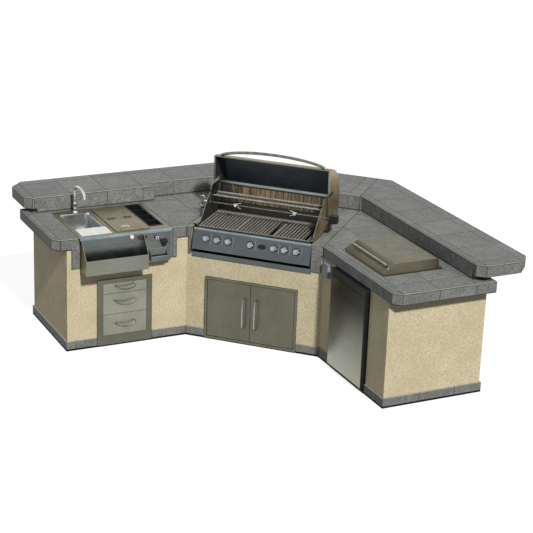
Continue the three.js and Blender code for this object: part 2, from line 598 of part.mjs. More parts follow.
// Pressed deck with a sink, an ice well and a tray recess, with its front apron and cheeks
function stationBody() {
  const { x0, x1, y0, y1 } = stationBox;
  const bottom = -station.apronDrop;
  const back = y0 + station.cheekDepth;
  const sink = [basinPlace[0] + basin.ledge, basinPlace[1] - basin.ledge, basinPlace[2], basinPlace[3]];
  const wells = [
    { place: basinPlace, corner: board.corner, floor: boardSeat },
    { place: sink, corner: basin.corner, floor: -basin.depth },
    { place: shrunk(icePlace, ice.lap), corner: basin.corner, floor: -ice.depth },
    { place: shrunk(trayPlace, tray.rim), corner: tray.corner, floor: -tray.depth - gap },
  ];
  const tubs = wells.map(({ place, corner, floor }) => roundedBox(shrunk(place, -sheet), corner + sheet,
    floor - sheet, deckTop));
  const hollows = wells.map(({ place, corner, floor }) => roundedBox(place, corner, floor,
    deckTop + overrun));
  const drain = rod([(sink[0] + sink[1]) / 2, (sink[2] + sink[3]) / 2, -basin.depth - overrun],
    [(sink[0] + sink[1]) / 2, (sink[2] + sink[3]) / 2, -basin.depth + overrun], basin.drain, 16);
  const knobBore = rod([knobX, y0 - overrun, -stationKnob.drop], [knobX, y0 + overrun, -stationKnob.drop],
    stationKnob.stem + gap, 12);
  const { nose, noseSteps, lap } = station;
  const roll = Array.from({ length: noseSteps + 1 }, (_, i) => {
    const angle = Math.PI * (1 - i / noseSteps / 2);
    return [y0 + nose + nose * Math.cos(angle), deckTop - nose + nose * Math.sin(angle)];
  });
  const cheek = [...roll, [back, deckTop], [back, bottom], [y0, bottom]];
  const rolledEdge = ribbon([[y0, deckTop - nose - sheet], ...roll, [y0 + nose + sheet, deckTop]], sheet);
  const body = joined(
    block(x0 - lap, x1 + lap, y0 + nose, y1 + lap, gap, deckTop),
    acrossX(rolledEdge, x0 - lap, x1 + lap),
    block(x0, x1, y0, y0 + sheet, bottom, deckTop - nose),
    acrossX(cheek, x0, x0 + sheet),
    acrossX(cheek, x1 - sheet, x1),
    block(x0, x1, y0, back, bottom, bottom + sheet),
    ...tubs,
  ).subtract(joined(...hollows, drain, knobBore));
  add(station3d, 'station_body', body, 'steel');
}

// Two-part ice lid: the rear half stays, the front half folds back on it
function iceLids() {
  const [x0, x1, y0, y1] = icePlace;
  const split = y1 - ice.splitFromBack;
  const bottom = deckTop + gap;
  const top = bottom + ice.lidThickness;
  const axis = top + hingeBarrel.radius + gap;
  const spots = [x0 + ice.width / 4, x1 - ice.width / 4];
  const reach = 3 * hingeBarrel.radius;
  const hinges = spots.map((x) => hinge(x, split, axis, reach, sheet));
  const rear = block(x0, x1, split + hingeBarrel.radius + gap, y1, bottom, top)
    .add(joined(...hinges.map(({ fixed }) => fixed)));
  const pullX = x0 + ice.width * icePull.acrossShare;
  const pullY = y0 + ice.width * icePull.backShare;
  const knee = top + icePull.height * icePull.kneeShare;
  const pull = bentTube([
    [pullX - icePull.half, pullY, top - sheet], [pullX - icePull.half, pullY, knee],
    [pullX, pullY, top + icePull.height],
    [pullX + icePull.half, pullY, knee], [pullX + icePull.half, pullY, top - sheet],
  ], icePull.radius, 8, 16);
  const front = block(x0, x1, y0, split - gap, bottom, top)
    .add(joined(...hinges.map(({ moving }) => moving), pull));
  add(station3d, 'ice_lid_rear', rear, 'steel');
  add(station3d, 'ice_lid_front', front, 'steel');
}

function boardAndTray() {
  const [x0, x1, y0] = shrunk(basinPlace, board.clearance);
  const slotX = (x0 + x1) / 2;
  const slotY = y0 + board.depth - 2 * board.slotWidth;
  const cutting = roundedBox([x0, x1, y0, y0 + board.depth], board.corner, boardSeat + gap, deckTop + gap)
    .subtract(roundedBox([slotX - board.slot, slotX + board.slot, slotY, slotY + board.slotWidth],
      board.slotWidth / 2, boardSeat - overrun, deckTop + overrun));
  add(station3d, 'cutting_board', cutting, 'whitePlastic');

  const body = shrunk(trayPlace, tray.rim + gap);
  const rimTop = deckTop + gap + tray.wall;
  const cup = (body[3] - body[2] - (tray.cups + 1) * tray.wall) / tray.cups;
  const cups = repeat(tray.cups, (i) => {
    const from = body[2] + tray.wall + i * (cup + tray.wall);
    return roundedBox([body[0] + tray.wall, body[1] - tray.wall, from, from + cup], tray.corner,
      -tray.depth + tray.wall, rimTop + overrun);
  });
  const condiments = roundedBox(trayPlace, tray.corner, deckTop + gap, rimTop)
    .add(roundedBox(body, tray.corner, -tray.depth, rimTop)).subtract(cups);
  add(station3d, 'condiment_tray', condiments, 'blackPlastic');
}

// Gooseneck faucet: a fixed body and a spout that swivels on it
function faucetParts() {
  const { radius, collar, flangeRadius, flangeHeight, body, wall } = faucet;
  const x = basinPlace[0] + basin.width * faucet.acrossShare;
  const y = stationBox.y1 - station.deck / 2;
  const seat = flangeHeight + body;
  const spigot = radius - wall - gap;
  const lower = turned([[0, gap], [flangeRadius, gap], [flangeRadius, flangeHeight / 2],
    [collar, flangeHeight], [collar, seat],
    [spigot, seat], [spigot, seat + faucet.swivel], [0, seat + faucet.swivel]], 'up', [x, y, deckTop]);
  const start = deckTop + seat + gap;
  const bend = faucet.reach / 2;
  const springing = deckTop + faucet.height - radius - faucet.archRise;
  const arc = Array.from({ length: faucet.archSteps + 1 }, (_, i) => {
    const angle = Math.PI * i / faucet.archSteps;
    return [x, y - bend + bend * Math.cos(angle), springing + faucet.archRise * Math.sin(angle)];
  });
  const tip = [x, y - faucet.reach, springing - faucet.tipDrop];
  const neck = bentTube([[x, y, start + 2 * faucet.swivel], ...arc, tip], radius, faucet.sides, faucet.steps);
  const sleeve = turned([[0, 0], [collar, 0], [collar, 2 * faucet.swivel], [radius, 3 * faucet.swivel],
    [0, 3 * faucet.swivel]], 'up', [x, y, start]);
  const bore = rod([x, y, start - overrun], [x, y, start + faucet.swivel + gap], radius - wall, 16);
  add(station3d, 'faucet_body', lower, 'chrome');
  add(station3d, 'faucet_spout', sleeve.add(neck).subtract(bore), 'chrome');
}

// Fittings on the station's front: water knob, towel peg, bottle opener and cap catcher
function stationFittings() {
  const face = stationBox.y0 - gap;
  const { stem, stemLength, radius, depth } = stationKnob;
  const knob = turned([[0, -stemLength], [stem, -stemLength], [stem, 0], [radius, 0], [radius, depth / 2],
    [radius - stem / 2, depth], [0, depth]],
    'front', [knobX, face, -stationKnob.drop], 16);
  add(station3d, 'water_knob', knob, 'whitePlastic');
  const towelPeg = turned([[0, 0], [peg.radius, 0], [peg.radius, peg.neck / 2], [peg.neck, peg.neck],
    [peg.neck, peg.depth - peg.neck],
    [2 * peg.neck, peg.depth - peg.neck / 2], [2 * peg.neck, peg.depth], [0, peg.depth]],
  'front', [besideRail(peg.roomShare), face, -peg.drop], 16);
  add(station3d, 'towel_peg', towelPeg, 'chrome');

  const openerX = besideRail(opener.roomShare);
  const half = opener.width / 2;
  const [openerTop, openerFoot] = [-openerDrop, -openerDrop - opener.height];
  const [lugTop, lugFoot] = [openerTop - opener.hood / 2, openerTop - opener.hood];
  const lug = acrossX([[face, openerTop], [face - opener.thickness, openerTop], [face - opener.hood, lugTop],
    [face - opener.hood, lugFoot], [face - opener.hood + opener.thickness, lugFoot],
    [face - opener.thickness, lugTop], [face - opener.thickness, openerFoot], [face, openerFoot]],
  openerX - half, openerX + half);
  const taper = acrossY([[openerX - half, openerTop + overrun], [openerX + half, openerTop + overrun],
    [openerX + half, lugFoot], [openerX + half / 2, openerFoot], [openerX - half / 2, openerFoot],
    [openerX - half, lugFoot]], face - 2 * opener.hood, face + overrun);
  add(station3d, 'bottle_opener', lug.intersect(taper), 'castIron');

  const [catcherX0, catcherX1] = catcher.roomShares.map(besideRail);
  const [catcherTop, catcherFoot] = [-catcherDrop, -catcherDrop - catcher.height];
  const front = face - catcher.depth;
  const section = [[face, catcherTop], [front, catcherFoot + catcher.depth], [front, catcherFoot],
    [face, catcherFoot]];
  const room = [[face - sheet, catcherTop + overrun], [front + sheet, catcherFoot + catcher.depth + overrun],
    [front + sheet, catcherFoot + sheet], [face - sheet, catcherFoot + sheet]];
  const box = acrossX(section, catcherX0, catcherX1)
    .subtract(acrossX(room, catcherX0 + sheet, catcherX1 - sheet));
  add(station3d, 'cap_catcher', box, 'steel');
}

// Speed rail: a folded trough with sloping ends, hung on the station's front
function speedRail() {
  const { x0, y0 } = stationBox;
  const face = y0 - gap;
  const front = face - rail.reach;
  const end = [[face, -rail.topDrop], [front, -rail.drop + rail.frontHeight], [front, -rail.drop],
    [face, -rail.drop]];
  const trough = acrossX(ribbon([[face, -rail.backDrop], [face, -rail.drop], [front, -rail.drop],
    [front, -rail.drop + rail.frontHeight]], sheet), x0, x0 + rail.width);
  const ends = [x0, x0 + rail.width - sheet].map((x) => acrossX(end, x, x + sheet));
  add(station3d, 'speed_rail', joined(trough, ...ends), 'steel');
}

// Drawer stack: a face frame with a liner and ledges, and three drawers with bow handles
function drawerStack() {
  const { x0, x1, z0, z1 } = drawerBox;
  const { side, top, bottom, spread, faceFront, ledge, ledgeThickness, split, sideRoom } = drawers;
  const back = tileProud - gap;
  const [holeX0, holeX1, holeZ0, holeZ1] = [x0 + side, x1 - side, z0 + bottom, z1 - top];
  const face = acrossY(rectangle(x0, x1, z0, z1), -faceFront, back)
    .subtract(acrossY(rectangle(holeX0, holeX1, holeZ0, holeZ1), -overrun, back + overrun));
  const liner = acrossY(rectangle(holeX0 - spread - sheet, holeX1 + spread + sheet, holeZ0 - spread - sheet,
    holeZ1 + spread + sheet), back - sheet, drawers.linerDepth)
    .subtract(acrossY(rectangle(holeX0 - spread, holeX1 + spread, holeZ0 - spread, holeZ1 + spread), back,
      drawers.linerDepth - sheet))
    .subtract(acrossY(rectangle(holeX0, holeX1, holeZ0, holeZ1), -overrun, back + overrun));
  const room = holeZ1 - holeZ0;
  const names = ['drawer_top', 'drawer_middle', 'drawer_bottom'];
  let from = holeZ1;
  let frame = face.add(liner);
  names.forEach((name, i) => {
    const height = room * drawers.heightShares[i];
    const panelTop = from - split / 2;
    const panelBottom = from - height + split / 2;
    const boxBottom = panelBottom + ledgeThickness;
    const boxTop = boxBottom + (height - ledgeThickness) * drawers.boxHeightShare;
    const boxX0 = holeX0 - spread + sideRoom;
    const boxX1 = holeX1 + spread - sideRoom;
    const boxBack = drawers.frontThickness + drawers.boxDepth;
    const runners = [[holeX0 - spread - gap, holeX0 - spread + ledge],
      [holeX1 + spread - ledge, holeX1 + spread + gap]]
      .map(([a, b]) => block(a, b, back + drawers.frontThickness, drawers.linerDepth - sheet + gap,
        boxBottom - gap - sheet, boxBottom - gap));
    frame = frame.add(joined(...runners));
    const middleX = (x0 + x1) / 2;
    const pullZ = panelTop - height * drawers.pullShares[i];
    const outBy = handle.standoff + handle.radius;
    const halfBow = drawers.curveShares.map(([across, out, down]) => [
      across * drawers.pullHalf, sheet - (sheet + faceFront + outBy) * out, pullZ - drawers.pullDroop * down,
    ]);
    const pullPoints = [
      ...halfBow.map(([x, y, z]) => [middleX - x, y, z]),
      ...halfBow.slice(0, -1).reverse().map(([x, y, z]) => [middleX + x, y, z]),
    ];
    const bow = bentTube(pullPoints, handle.radius, handle.sides, handle.steps);
    const box = block(boxX0, boxX1, drawers.frontThickness - faceFront - sheet, boxBack, boxBottom, boxTop)
      .subtract(block(boxX0 + sheet, boxX1 - sheet, drawers.frontThickness - faceFront - gap,
        boxBack - sheet, boxBottom + sheet, boxTop + overrun));
    const front = block(holeX0 + runningClearance, holeX1 - runningClearance, -faceFront,
      drawers.frontThickness - faceFront, panelBottom, panelTop);
    add(leftWing, name, joined(front, box, bow), 'steel');
    from -= height;
  });
  add(leftWing, 'drawer_frame', frame, 'steel');
}

// Where the knobs stand, in a frame turned to the leaning control panel, and the gas pipe behind their stems
const panelRise = panel.drop - panel.railDrop;
const lean = Math.atan2(panel.railFront - panel.footFront, panelRise);
const knobRow = [
  panel.railFront - (panel.railFront - panel.footFront) * panel.knobShare,
  -panel.railDrop - panelRise * panel.knobShare,
];
const panelFace = new THREE.Group();
panelFace.position.set(0, ...knobRow);
panelFace.rotation.x = -lean;
middle.add(panelFace);
const onPanel = new THREE.Matrix4().makeRotationX(-lean).setPosition(panelFace.position);
const knobBase = knobs.bezelDepth + gap;
const valveFace = knobs.stemLength - knobBase;
const pipeBack = valveFace + gas.valveLength + gas.pipe / 2;
const pipePlace = [panelFace.position.y + pipeBack * Math.cos(lean),
  panelFace.position.z - pipeBack * Math.sin(lean)];

// The hood's pivot in side view, and how far out the firebox's side walls stand
const pivotPlace = [hood.pivotBack, hood.pivotUp];
const wallX = grill.width / 2 - grill.sideInset;

// Firebox: sheet walls on a rim, ledges for the grates and heat plates, runners for the drip tray
function firebox() {
  const { wall, frontWall, backWall, rim, lap } = grill;
  const half = grill.width / 2;
  const side = [[frontWall, -grill.runnerDrop], [backWall, -grill.runnerDrop], [backWall, grill.sideRise],
    [grill.sideTop, grill.sideRise], [grill.sideFoot, rim], [frontWall, rim]];
  const spitSlot = [[spit.back - spit.slot, spit.height - spit.slot],
    [spit.back + spit.slot, spit.height - spit.slot],
    [spit.back + spit.slot, grill.sideRise + overrun], [spit.back - spit.slot, grill.sideRise + overrun]];
  const sides = [-1, 1].map((end) => {
    const [a, b] = [end * wallX, end * (wallX - wall)].sort((p, q) => p - q);
    return acrossX(side, a, b).subtract(acrossX(spitSlot, a - overrun, b + overrun));
  });
  const within = wallX - gap;
  const floor = acrossX(rectangle(frontWall + gap, backWall - gap, -grill.floorDrop,
    -grill.floorDrop + wall), -within, within)
    .subtract(block(-grill.greaseHalf, grill.greaseHalf, grill.greaseFront, grill.greaseBack,
      -grill.floorDrop - overrun, -grill.floorDrop + overrun));
  const front = acrossX(rectangle(frontWall + gap, frontWall + wall, -grill.floorDrop - gap,
    -grill.frontTop), -within, within);
  const housing = acrossX(rectangle(backWall - rearBurner.depth, backWall - gap, -grill.floorDrop - gap,
    grill.sideRise - gap), -within, within)
    .subtract(acrossX(rectangle(backWall - rearBurner.depth - overrun,
      backWall - rearBurner.depth + rearBurner.recess, rearBurner.windowBottom, rearBurner.windowTop),
      -rearBurner.windowHalf, rearBurner.windowHalf));
  const deck = block(-half - lap, half + lap, frontWall, grill.cutBack + lap, gap, rim)
    .subtract(block(gap - within, within - gap, frontWall - overrun, backWall - wall, gap - overrun,
      rim + overrun));
  const inner = wallX - wall;
  const seats = [[grates.thickness + grates.top, grates.ledge], [heatPlate.drop, heatPlate.ledge]];
  const ledges = seats.flatMap(([drop, ledge]) => [
    [frontWall + wall - gap, frontWall + wall + ledge],
    [backWall - rearBurner.depth - ledge, backWall - rearBurner.depth + gap],
  ].map(([a, b]) => acrossX(rectangle(a, b, -drop - gap - wall, -drop - gap), -inner - gap, inner + gap)));
  const runners = [-1, 1].map((end) => {
    const [a, b] = [end * inner, end * (inner - grill.runnerLedge)].sort((p, q) => p - q);
    return block(a - gap, b + gap, frontWall, backWall, -grill.runnerDrop, -grill.runnerDrop + wall);
  });
  const rackLedges = [-1, 1].map((end) => {
    const [a, b] = [end * inner, end * (inner - rack.ledge)].sort((p, q) => p - q);
    return block(a - gap, b + gap, rack.front - rack.tube, rack.back + rack.tube,
      rack.height - rack.tube - gap - wall, rack.height - rack.tube - gap);
  });
  const pins = [-1, 1].map((end) => rod([end * (inner - gap), ...pivotPlace],
    [end * (half - hood.endClearance), ...pivotPlace], hood.pin, 16));
  const burnerHoles = repeat(gas.burnerCount, (i) => rod([burnerX(i), frontWall - overrun, pipePlace[1]],
    [burnerX(i), frontWall + overrun, pipePlace[1]], gas.burner + runningClearance, 12));
  const whole = joined(...sides, floor, front, housing, deck, ...ledges, ...runners, ...rackLedges, ...pins)
    .subtract(burnerHoles);
  add(middle, 'firebox', whole, 'steel');
}

const burnerX = (i) => (2 * (i + 1 / 2) / gas.burnerCount - 1) * (wallX - grill.wall);

function controlPanel() {
  const half = grill.width / 2;
  const { railBack, railFront, nose, footFront } = panel;
  const front = [[railBack, -panel.topDrop], [railFront + nose, -panel.topDrop],
    [railFront, -panel.topDrop - nose], [railFront, -panel.railDrop], [footFront, -panel.drop]];
  const section = ribbon([...front, [footFront + panel.returnDepth, -panel.drop]], -panel.sheet);
  const end = [...front, [railBack, -panel.drop]];
  const bezels = knobs.placeShares.map((share) => rod([share * grill.width, panel.sheet, 0],
    [share * grill.width, -knobs.bezelDepth, 0], knobs.bezel, knobs.sides, onPanel));
  const bores = knobs.placeShares.map((share) => rod([share * grill.width, -overrun, 0],
    [share * grill.width, overrun, 0], knobs.stem + pinClearance, 8, onPanel));
  const whole = joined(acrossX(section, -half, half), acrossX(end, -half, -half + panel.sheet),
    acrossX(end, half - panel.sheet, half), ...bezels)
    .subtract(joined(...bores));
  add(middle, 'control_panel', whole, 'steel');
  knobs.placeShares.forEach((share, i) => {
    const x = share * grill.width;
    const tip = knobBase - knobs.stemLength;
    const top = knobBase + knobs.depth;
    const knob = turned([[0, tip], [knobs.stem, tip], [knobs.stem, knobBase], [knobs.skirt, knobBase],
      [knobs.skirt, knobBase + knobs.bezelDepth], [knobs.radius, knobBase + 2 * knobs.bezelDepth],
      [knobs.radius * 5 / 6, top], [0, top]], 'front', [x, 0, 0], knobs.sides);
    const pointerHalf = knobs.radius * 3 / 4;
    const grip = acrossY(rectangle(x - knobs.pointer, x + knobs.pointer, -pointerHalf, pointerHalf),
      -top - knobs.pointer, -top + knobs.pointer);
    add(panelFace, `knob_${i + 1}`, knob.add(grip), 'chrome');
  });
}

// Gas pipe behind the control panel, with a valve for each knob and the burner tubes that run back from it
function gasTrain() {
  const valves = knobs.placeShares.map((share) => rod([share * grill.width, valveFace + gap, 0],
    [share * grill.width, valveFace + gas.valveLength, 0], gas.valve, 8, onPanel));
  const pipe = rod([-wallX, ...pipePlace], [wallX, ...pipePlace], gas.pipe, 10);
  const burners = repeat(gas.burnerCount, (i) => rod([burnerX(i), ...pipePlace],
    [burnerX(i), gas.burnerBack, pipePlace[1]], gas.burner, gas.burnerSides));
  add(middle, 'gas_burners', joined(pipe, ...valves, burners), 'steel');
}

// Cast grates side by side, each a frame crossed by bars that run front to back
function grateSet() {
  const inner = wallX - grill.wall - runningClearance;
  const width = (2 * inner - (grates.count - 1) * grates.between) / grates.count;
  const y0 = grill.frontWall + grill.wall + runningClearance;
  const y1 = grill.backWall - rearBurner.depth - runningClearance;
  const bottom = -grates.thickness - grates.top;
  for (let i = 0; i < grates.count; i += 1) {
    const x0 = -inner + i * (width + grates.between);
    const frame = [block(x0, x0 + width, y0, y0 + grates.frame, bottom, -grates.top),
      block(x0, x0 + width, y1 - grates.frame, y1, bottom, -grates.top)];
    const pitch = (width - grates.rod) / (grates.rods - 1);
    const bars = repeat(grates.rods, (k) => {
      const x = x0 + k * pitch;
      const bar = [[x, bottom], [x + grates.rod, bottom], [x + grates.rod, -grates.top - grates.rod / 3],
        [x + grates.rod * 2 / 3, -grates.top], [x + grates.rod / 3, -grates.top],
        [x, -grates.top - grates.rod / 3]];
      return acrossY(bar, y0 + grates.frame / 2, y1 - grates.frame / 2);
    });
    add(middle, `grate_${i + 1}`, joined(...frame, bars), 'castIron');
  }
}

// Heat plates: one roof of folded sheet over each burner, tied by a bar at each end
function heatPlates() {
  const y0 = grill.frontWall + grill.wall + runningClearance;
  const y1 = grill.backWall - rearBurner.depth - runningClearance;
  const roofs = repeat(gas.burnerCount, (i) => {
    const x = burnerX(i);
    return acrossY(ribbon([[x - heatPlate.halfWidth, -heatPlate.drop], [x, -heatPlate.drop + heatPlate.rise],
      [x + heatPlate.halfWidth, -heatPlate.drop]], -heatPlate.sheet), y0, y1);
  });
  const reach = burnerX(gas.burnerCount - 1) + heatPlate.halfWidth;
  const ties = [y0, y1 - heatPlate.tie]
    .map((y) => block(-reach, reach, y, y + heatPlate.tie, -heatPlate.drop,
      -heatPlate.drop + heatPlate.sheet));
  add(middle, 'heat_plates', joined(roofs, ...ties), 'steel');
}

function warmingRack() {
  const half = wallX - grill.wall - runningClearance;
  const rails = [rack.front, rack.back]
    .map((y) => rod([-half, y, rack.height], [half, y, rack.height], rack.tube, 8));
  const pitch = 2 * (half - 2 * rack.tube) / (rack.rods - 1);
  const wires = repeat(rack.rods, (i) => {
    const x = -half + 2 * rack.tube + i * pitch;
    return rod([x, rack.front, rack.height + rack.rod / 2], [x, rack.back, rack.height + rack.rod / 2],
      rack.rod / 2, 6);
  });
  add(middle, 'warming_rack', joined(...rails, wires), 'chrome');
}

// Rotisserie: a spit with a loop handle, a ball and two forks, and the motor that drives it
function rotisserie() {
  const half = grill.width / 2;
  const at = [spit.back, spit.height];
  const start = -half - spit.leftReach;
  const plateX = half + motor.sideGap;
  const end = plateX + motor.plate + motor.boss;
  const shaft = rod([start, ...at], [end, ...at], spit.radius, spit.sides);
  const { loopLength, loopHalf, loopRadius } = spit;
  const loopPoints = spit.loopShares
    .map(([out, up]) => [start - loopLength * out, spit.back, spit.height + loopHalf * up]);
  const loop = joined(bentTube(loopPoints, loopRadius, 8, 16),
    rod(loopPoints[0], loopPoints[loopPoints.length - 1], loopRadius, 8));
  const ballPlace = [start - loopLength / 2, spit.back, spit.height - loopHalf - spit.ball];
  const ball = solid(new THREE.SphereGeometry(spit.ball, 10, 6).translate(...ballPlace));
  const forks = [-1, 1].map((side) => {
    const x = side * half / 2;
    const hub = rod([x - spit.hub, ...at], [x + spit.hub, ...at], spit.hub, spit.sides);
    const tines = [-1, 1].map((up) => rod([x, spit.back, spit.height + up * spit.hub / 2],
      [x - side * spit.forkReach, spit.back, spit.height + up * spit.forkReach / 2], spit.forkRadius, 6));
    return joined(hub, ...tines);
  });
  add(middle, 'rotisserie_spit', joined(shaft, loop, ball, ...forks), 'chrome');
  const y0 = spit.back - motor.depth / 2;
  const box = block(plateX, plateX + motor.width, y0, y0 + motor.depth, spit.height - motor.height / 2,
    spit.height + motor.height / 2)
    .add(block(plateX, plateX + motor.plate, y0, y0 + motor.depth, grill.rim + gap, spit.height))
    .add(block(wallX + 2 * hood.endWall, plateX + motor.plate, y0, y0 + motor.depth, grill.rim + gap,
      grill.rim + gap + motor.plate))
    .subtract(rod([plateX - overrun, ...at], [end + gap, ...at], spit.radius + pinClearance, spit.sides));
  add(middle, 'rotisserie_motor', box, 'blackPlastic');
}

// Hood: a rounded shell with end plates, drawn closed about its pivot and standing open, and its bowed handle
const hoodFrame = new THREE.Group();
hoodFrame.position.set(0, ...pivotPlace);
hoodFrame.rotation.x = -hood.openAngle;
middle.add(hoodFrame);

function hoodParts() {
  const inner = wallX + hood.endClearance;
  const half = inner + hood.endWall;
  const lip = [hood.lipFront - hood.pivotBack, hood.lipUp - hood.pivotUp];
  const outer = hood.outlineShares.map(([y, z]) => [lip[0] + y * hoodDepth, lip[1] + z * hood.height]);
  const shell = acrossX(ribbon(outer, hood.wall), -half, half);
  const plate = [...outer, [hood.earBack, 0], [hood.earFront, lip[1]]];
  const [spitBack, spitUp] = [spit.back - hood.pivotBack, spit.height - hood.pivotUp];
  const spitReach = Math.hypot(spitBack, spitUp);
  const leaving = Math.sqrt(spitReach ** 2 - lip[1] ** 2);
  const slot = rectangle(-spitReach - spit.slot, spit.slot - leaving, lip[1] - overrun, spitUp + spit.slot);
  const ends = [-1, 1].map((end) => {
    const [a, b] = [end * inner, end * half].sort((p, q) => p - q);
    return acrossX(plate, a, b);
  });
  const bores = joined(acrossX(slot, -far, far),
    rod([-half - overrun, 0, 0], [half + overrun, 0, 0], hood.pin + pinClearance, 16));
  add(hoodFrame, 'hood', shell.add(joined(...ends).subtract(bores)), 'steel');

  const [low, high] = hood.outlineShares.map(([y, z]) => [lip[0] + y * hoodDepth, lip[1] + z * hood.height]);
  const z = lip[1] + hoodHandle.up;
  const face = low[0] + (high[0] - low[0]) * hoodHandle.up / (high[1] - low[1]);
  const count = hoodHandle.steps / 2;
  const bow = Array.from({ length: count + 1 }, (_, i) => {
    const angle = Math.PI * i / count;
    return [-hoodHandle.half * Math.cos(angle),
      face - hoodHandle.bow * Math.sin(angle) ** hoodHandle.fullness, z];
  });
  const sunk = face + hoodHandle.radius / 2;
  const past = hoodHandle.half + hoodHandle.radius / 2;
  const tube = bentTube([[-past, sunk, z], ...bow.slice(1, -1), [past, sunk, z]],
    hoodHandle.radius, hoodHandle.sides, hoodHandle.steps);
  const behindFace = acrossX([[low[0] - gap, low[1] - overrun], [low[0] - gap, low[1]],
    [high[0] - gap, high[1]], [high[0] + far, high[1]], [high[0] + far, low[1] - overrun]], -half, half);
  add(hoodFrame, 'hood_handle', tube.subtract(behindFace), 'chrome');
}

// Drip tray: a shallow pan that hangs on the firebox's runners, behind a front bar
function dripTrayPiece() {
  const { clearance, front, barThickness, depth, lip, pan } = dripTray;
  const inner = wallX - grill.wall;
  const rimBottom = -grill.runnerDrop + grill.wall + gap;
  const rimHalf = inner - clearance;
  const panHalf = inner - grill.runnerLedge - clearance;
  const barBack = front + barThickness;
  const bar = acrossX([[front, -dripTray.topDrop], [barBack, -dripTray.topDrop],
    [barBack, -dripTray.bottomDrop], [front + barThickness / 3, -dripTray.bottomDrop],
    [front, -dripTray.bottomDrop + barThickness / 3]],
  -grill.width / 2 + clearance, grill.width / 2 - clearance);
  const dish = block(-rimHalf, rimHalf, barBack - gap, depth, rimBottom, rimBottom + dripTray.sheet)
    .add(block(-panHalf, panHalf, barBack - gap, depth - lip, rimBottom + dripTray.sheet - pan,
      rimBottom + dripTray.sheet))
    .subtract(block(-panHalf + dripTray.sheet, panHalf - dripTray.sheet, barBack + lip,
      depth - lip - dripTray.sheet, rimBottom + 2 * dripTray.sheet - pan, rimBottom + overrun));
  add(middle, 'drip_tray', bar.add(dish), 'steel');
}

// Double doors under the grill: a frame with a short liner, and two doors on pivot pins
function doorPair() {
  const { x0, x1, z0, z1 } = doorBox;
  const { border, face, thickness, clearance, split } = doors;
  const back = tileProud - gap;
  const hole = [x0 + border, x1 - border, z0 + border, z1 - border];
  const cut = acrossY(rectangle(...hole), -overrun, doors.linerDepth + overrun);
  const middleX = (x0 + x1) / 2;
  const middleZ = (z0 + z1) / 2;
  const frame = acrossY(rectangle(x0, x1, z0, z1), -face, back)
    .add(acrossY(rectangle(hole[0] - sheet, hole[1] + sheet, hole[2] - sheet, hole[3] + sheet), back - sheet,
      doors.linerDepth)).subtract(cut);
  const bores = [];
  [-1, 1].forEach((side) => {
    const edge = side < 0 ? hole[0] + clearance : hole[1] - clearance;
    const free = middleX + side * split / 2;
    const panelPiece = acrossY(rectangle(Math.min(edge, free), Math.max(edge, free), hole[2] + clearance,
      hole[3] - clearance), 0, thickness);
    const pinX = edge - side * pivot.inset;
    const pins = [hole[2] + clearance, hole[3] - clearance].map((z, i) => {
      const out = (i === 0 ? -1 : 1) * pivot.length;
      const end = out + Math.sign(out) * pinClearance;
      bores.push(rod([pinX, pivot.back, z + out / 3], [pinX, pivot.back, z + end],
        pivot.radius + pinClearance, 12));
      return rod([pinX, pivot.back, z - out / 3], [pinX, pivot.back, z + out], pivot.radius, 12);
    });
    const gripX = middleX + side * doors.handleFromSplit;
    const reach = doors.handleHalf;
    const bow = bentTube([[gripX, sheet, middleZ + reach],
      [gripX, -doors.handleBow * 3 / 4, middleZ + reach * 7 / 8], [gripX, -doors.handleBow, middleZ],
      [gripX, -doors.handleBow * 3 / 4, middleZ - reach * 7 / 8], [gripX, sheet, middleZ - reach]],
      handle.radius, handle.sides, handle.steps);
    add(island, side < 0 ? 'door_left' : 'door_right', joined(panelPiece, bow, ...pins), 'steel');
  });
  add(island, 'door_frame', frame.subtract(joined(...bores)), 'steel');
}

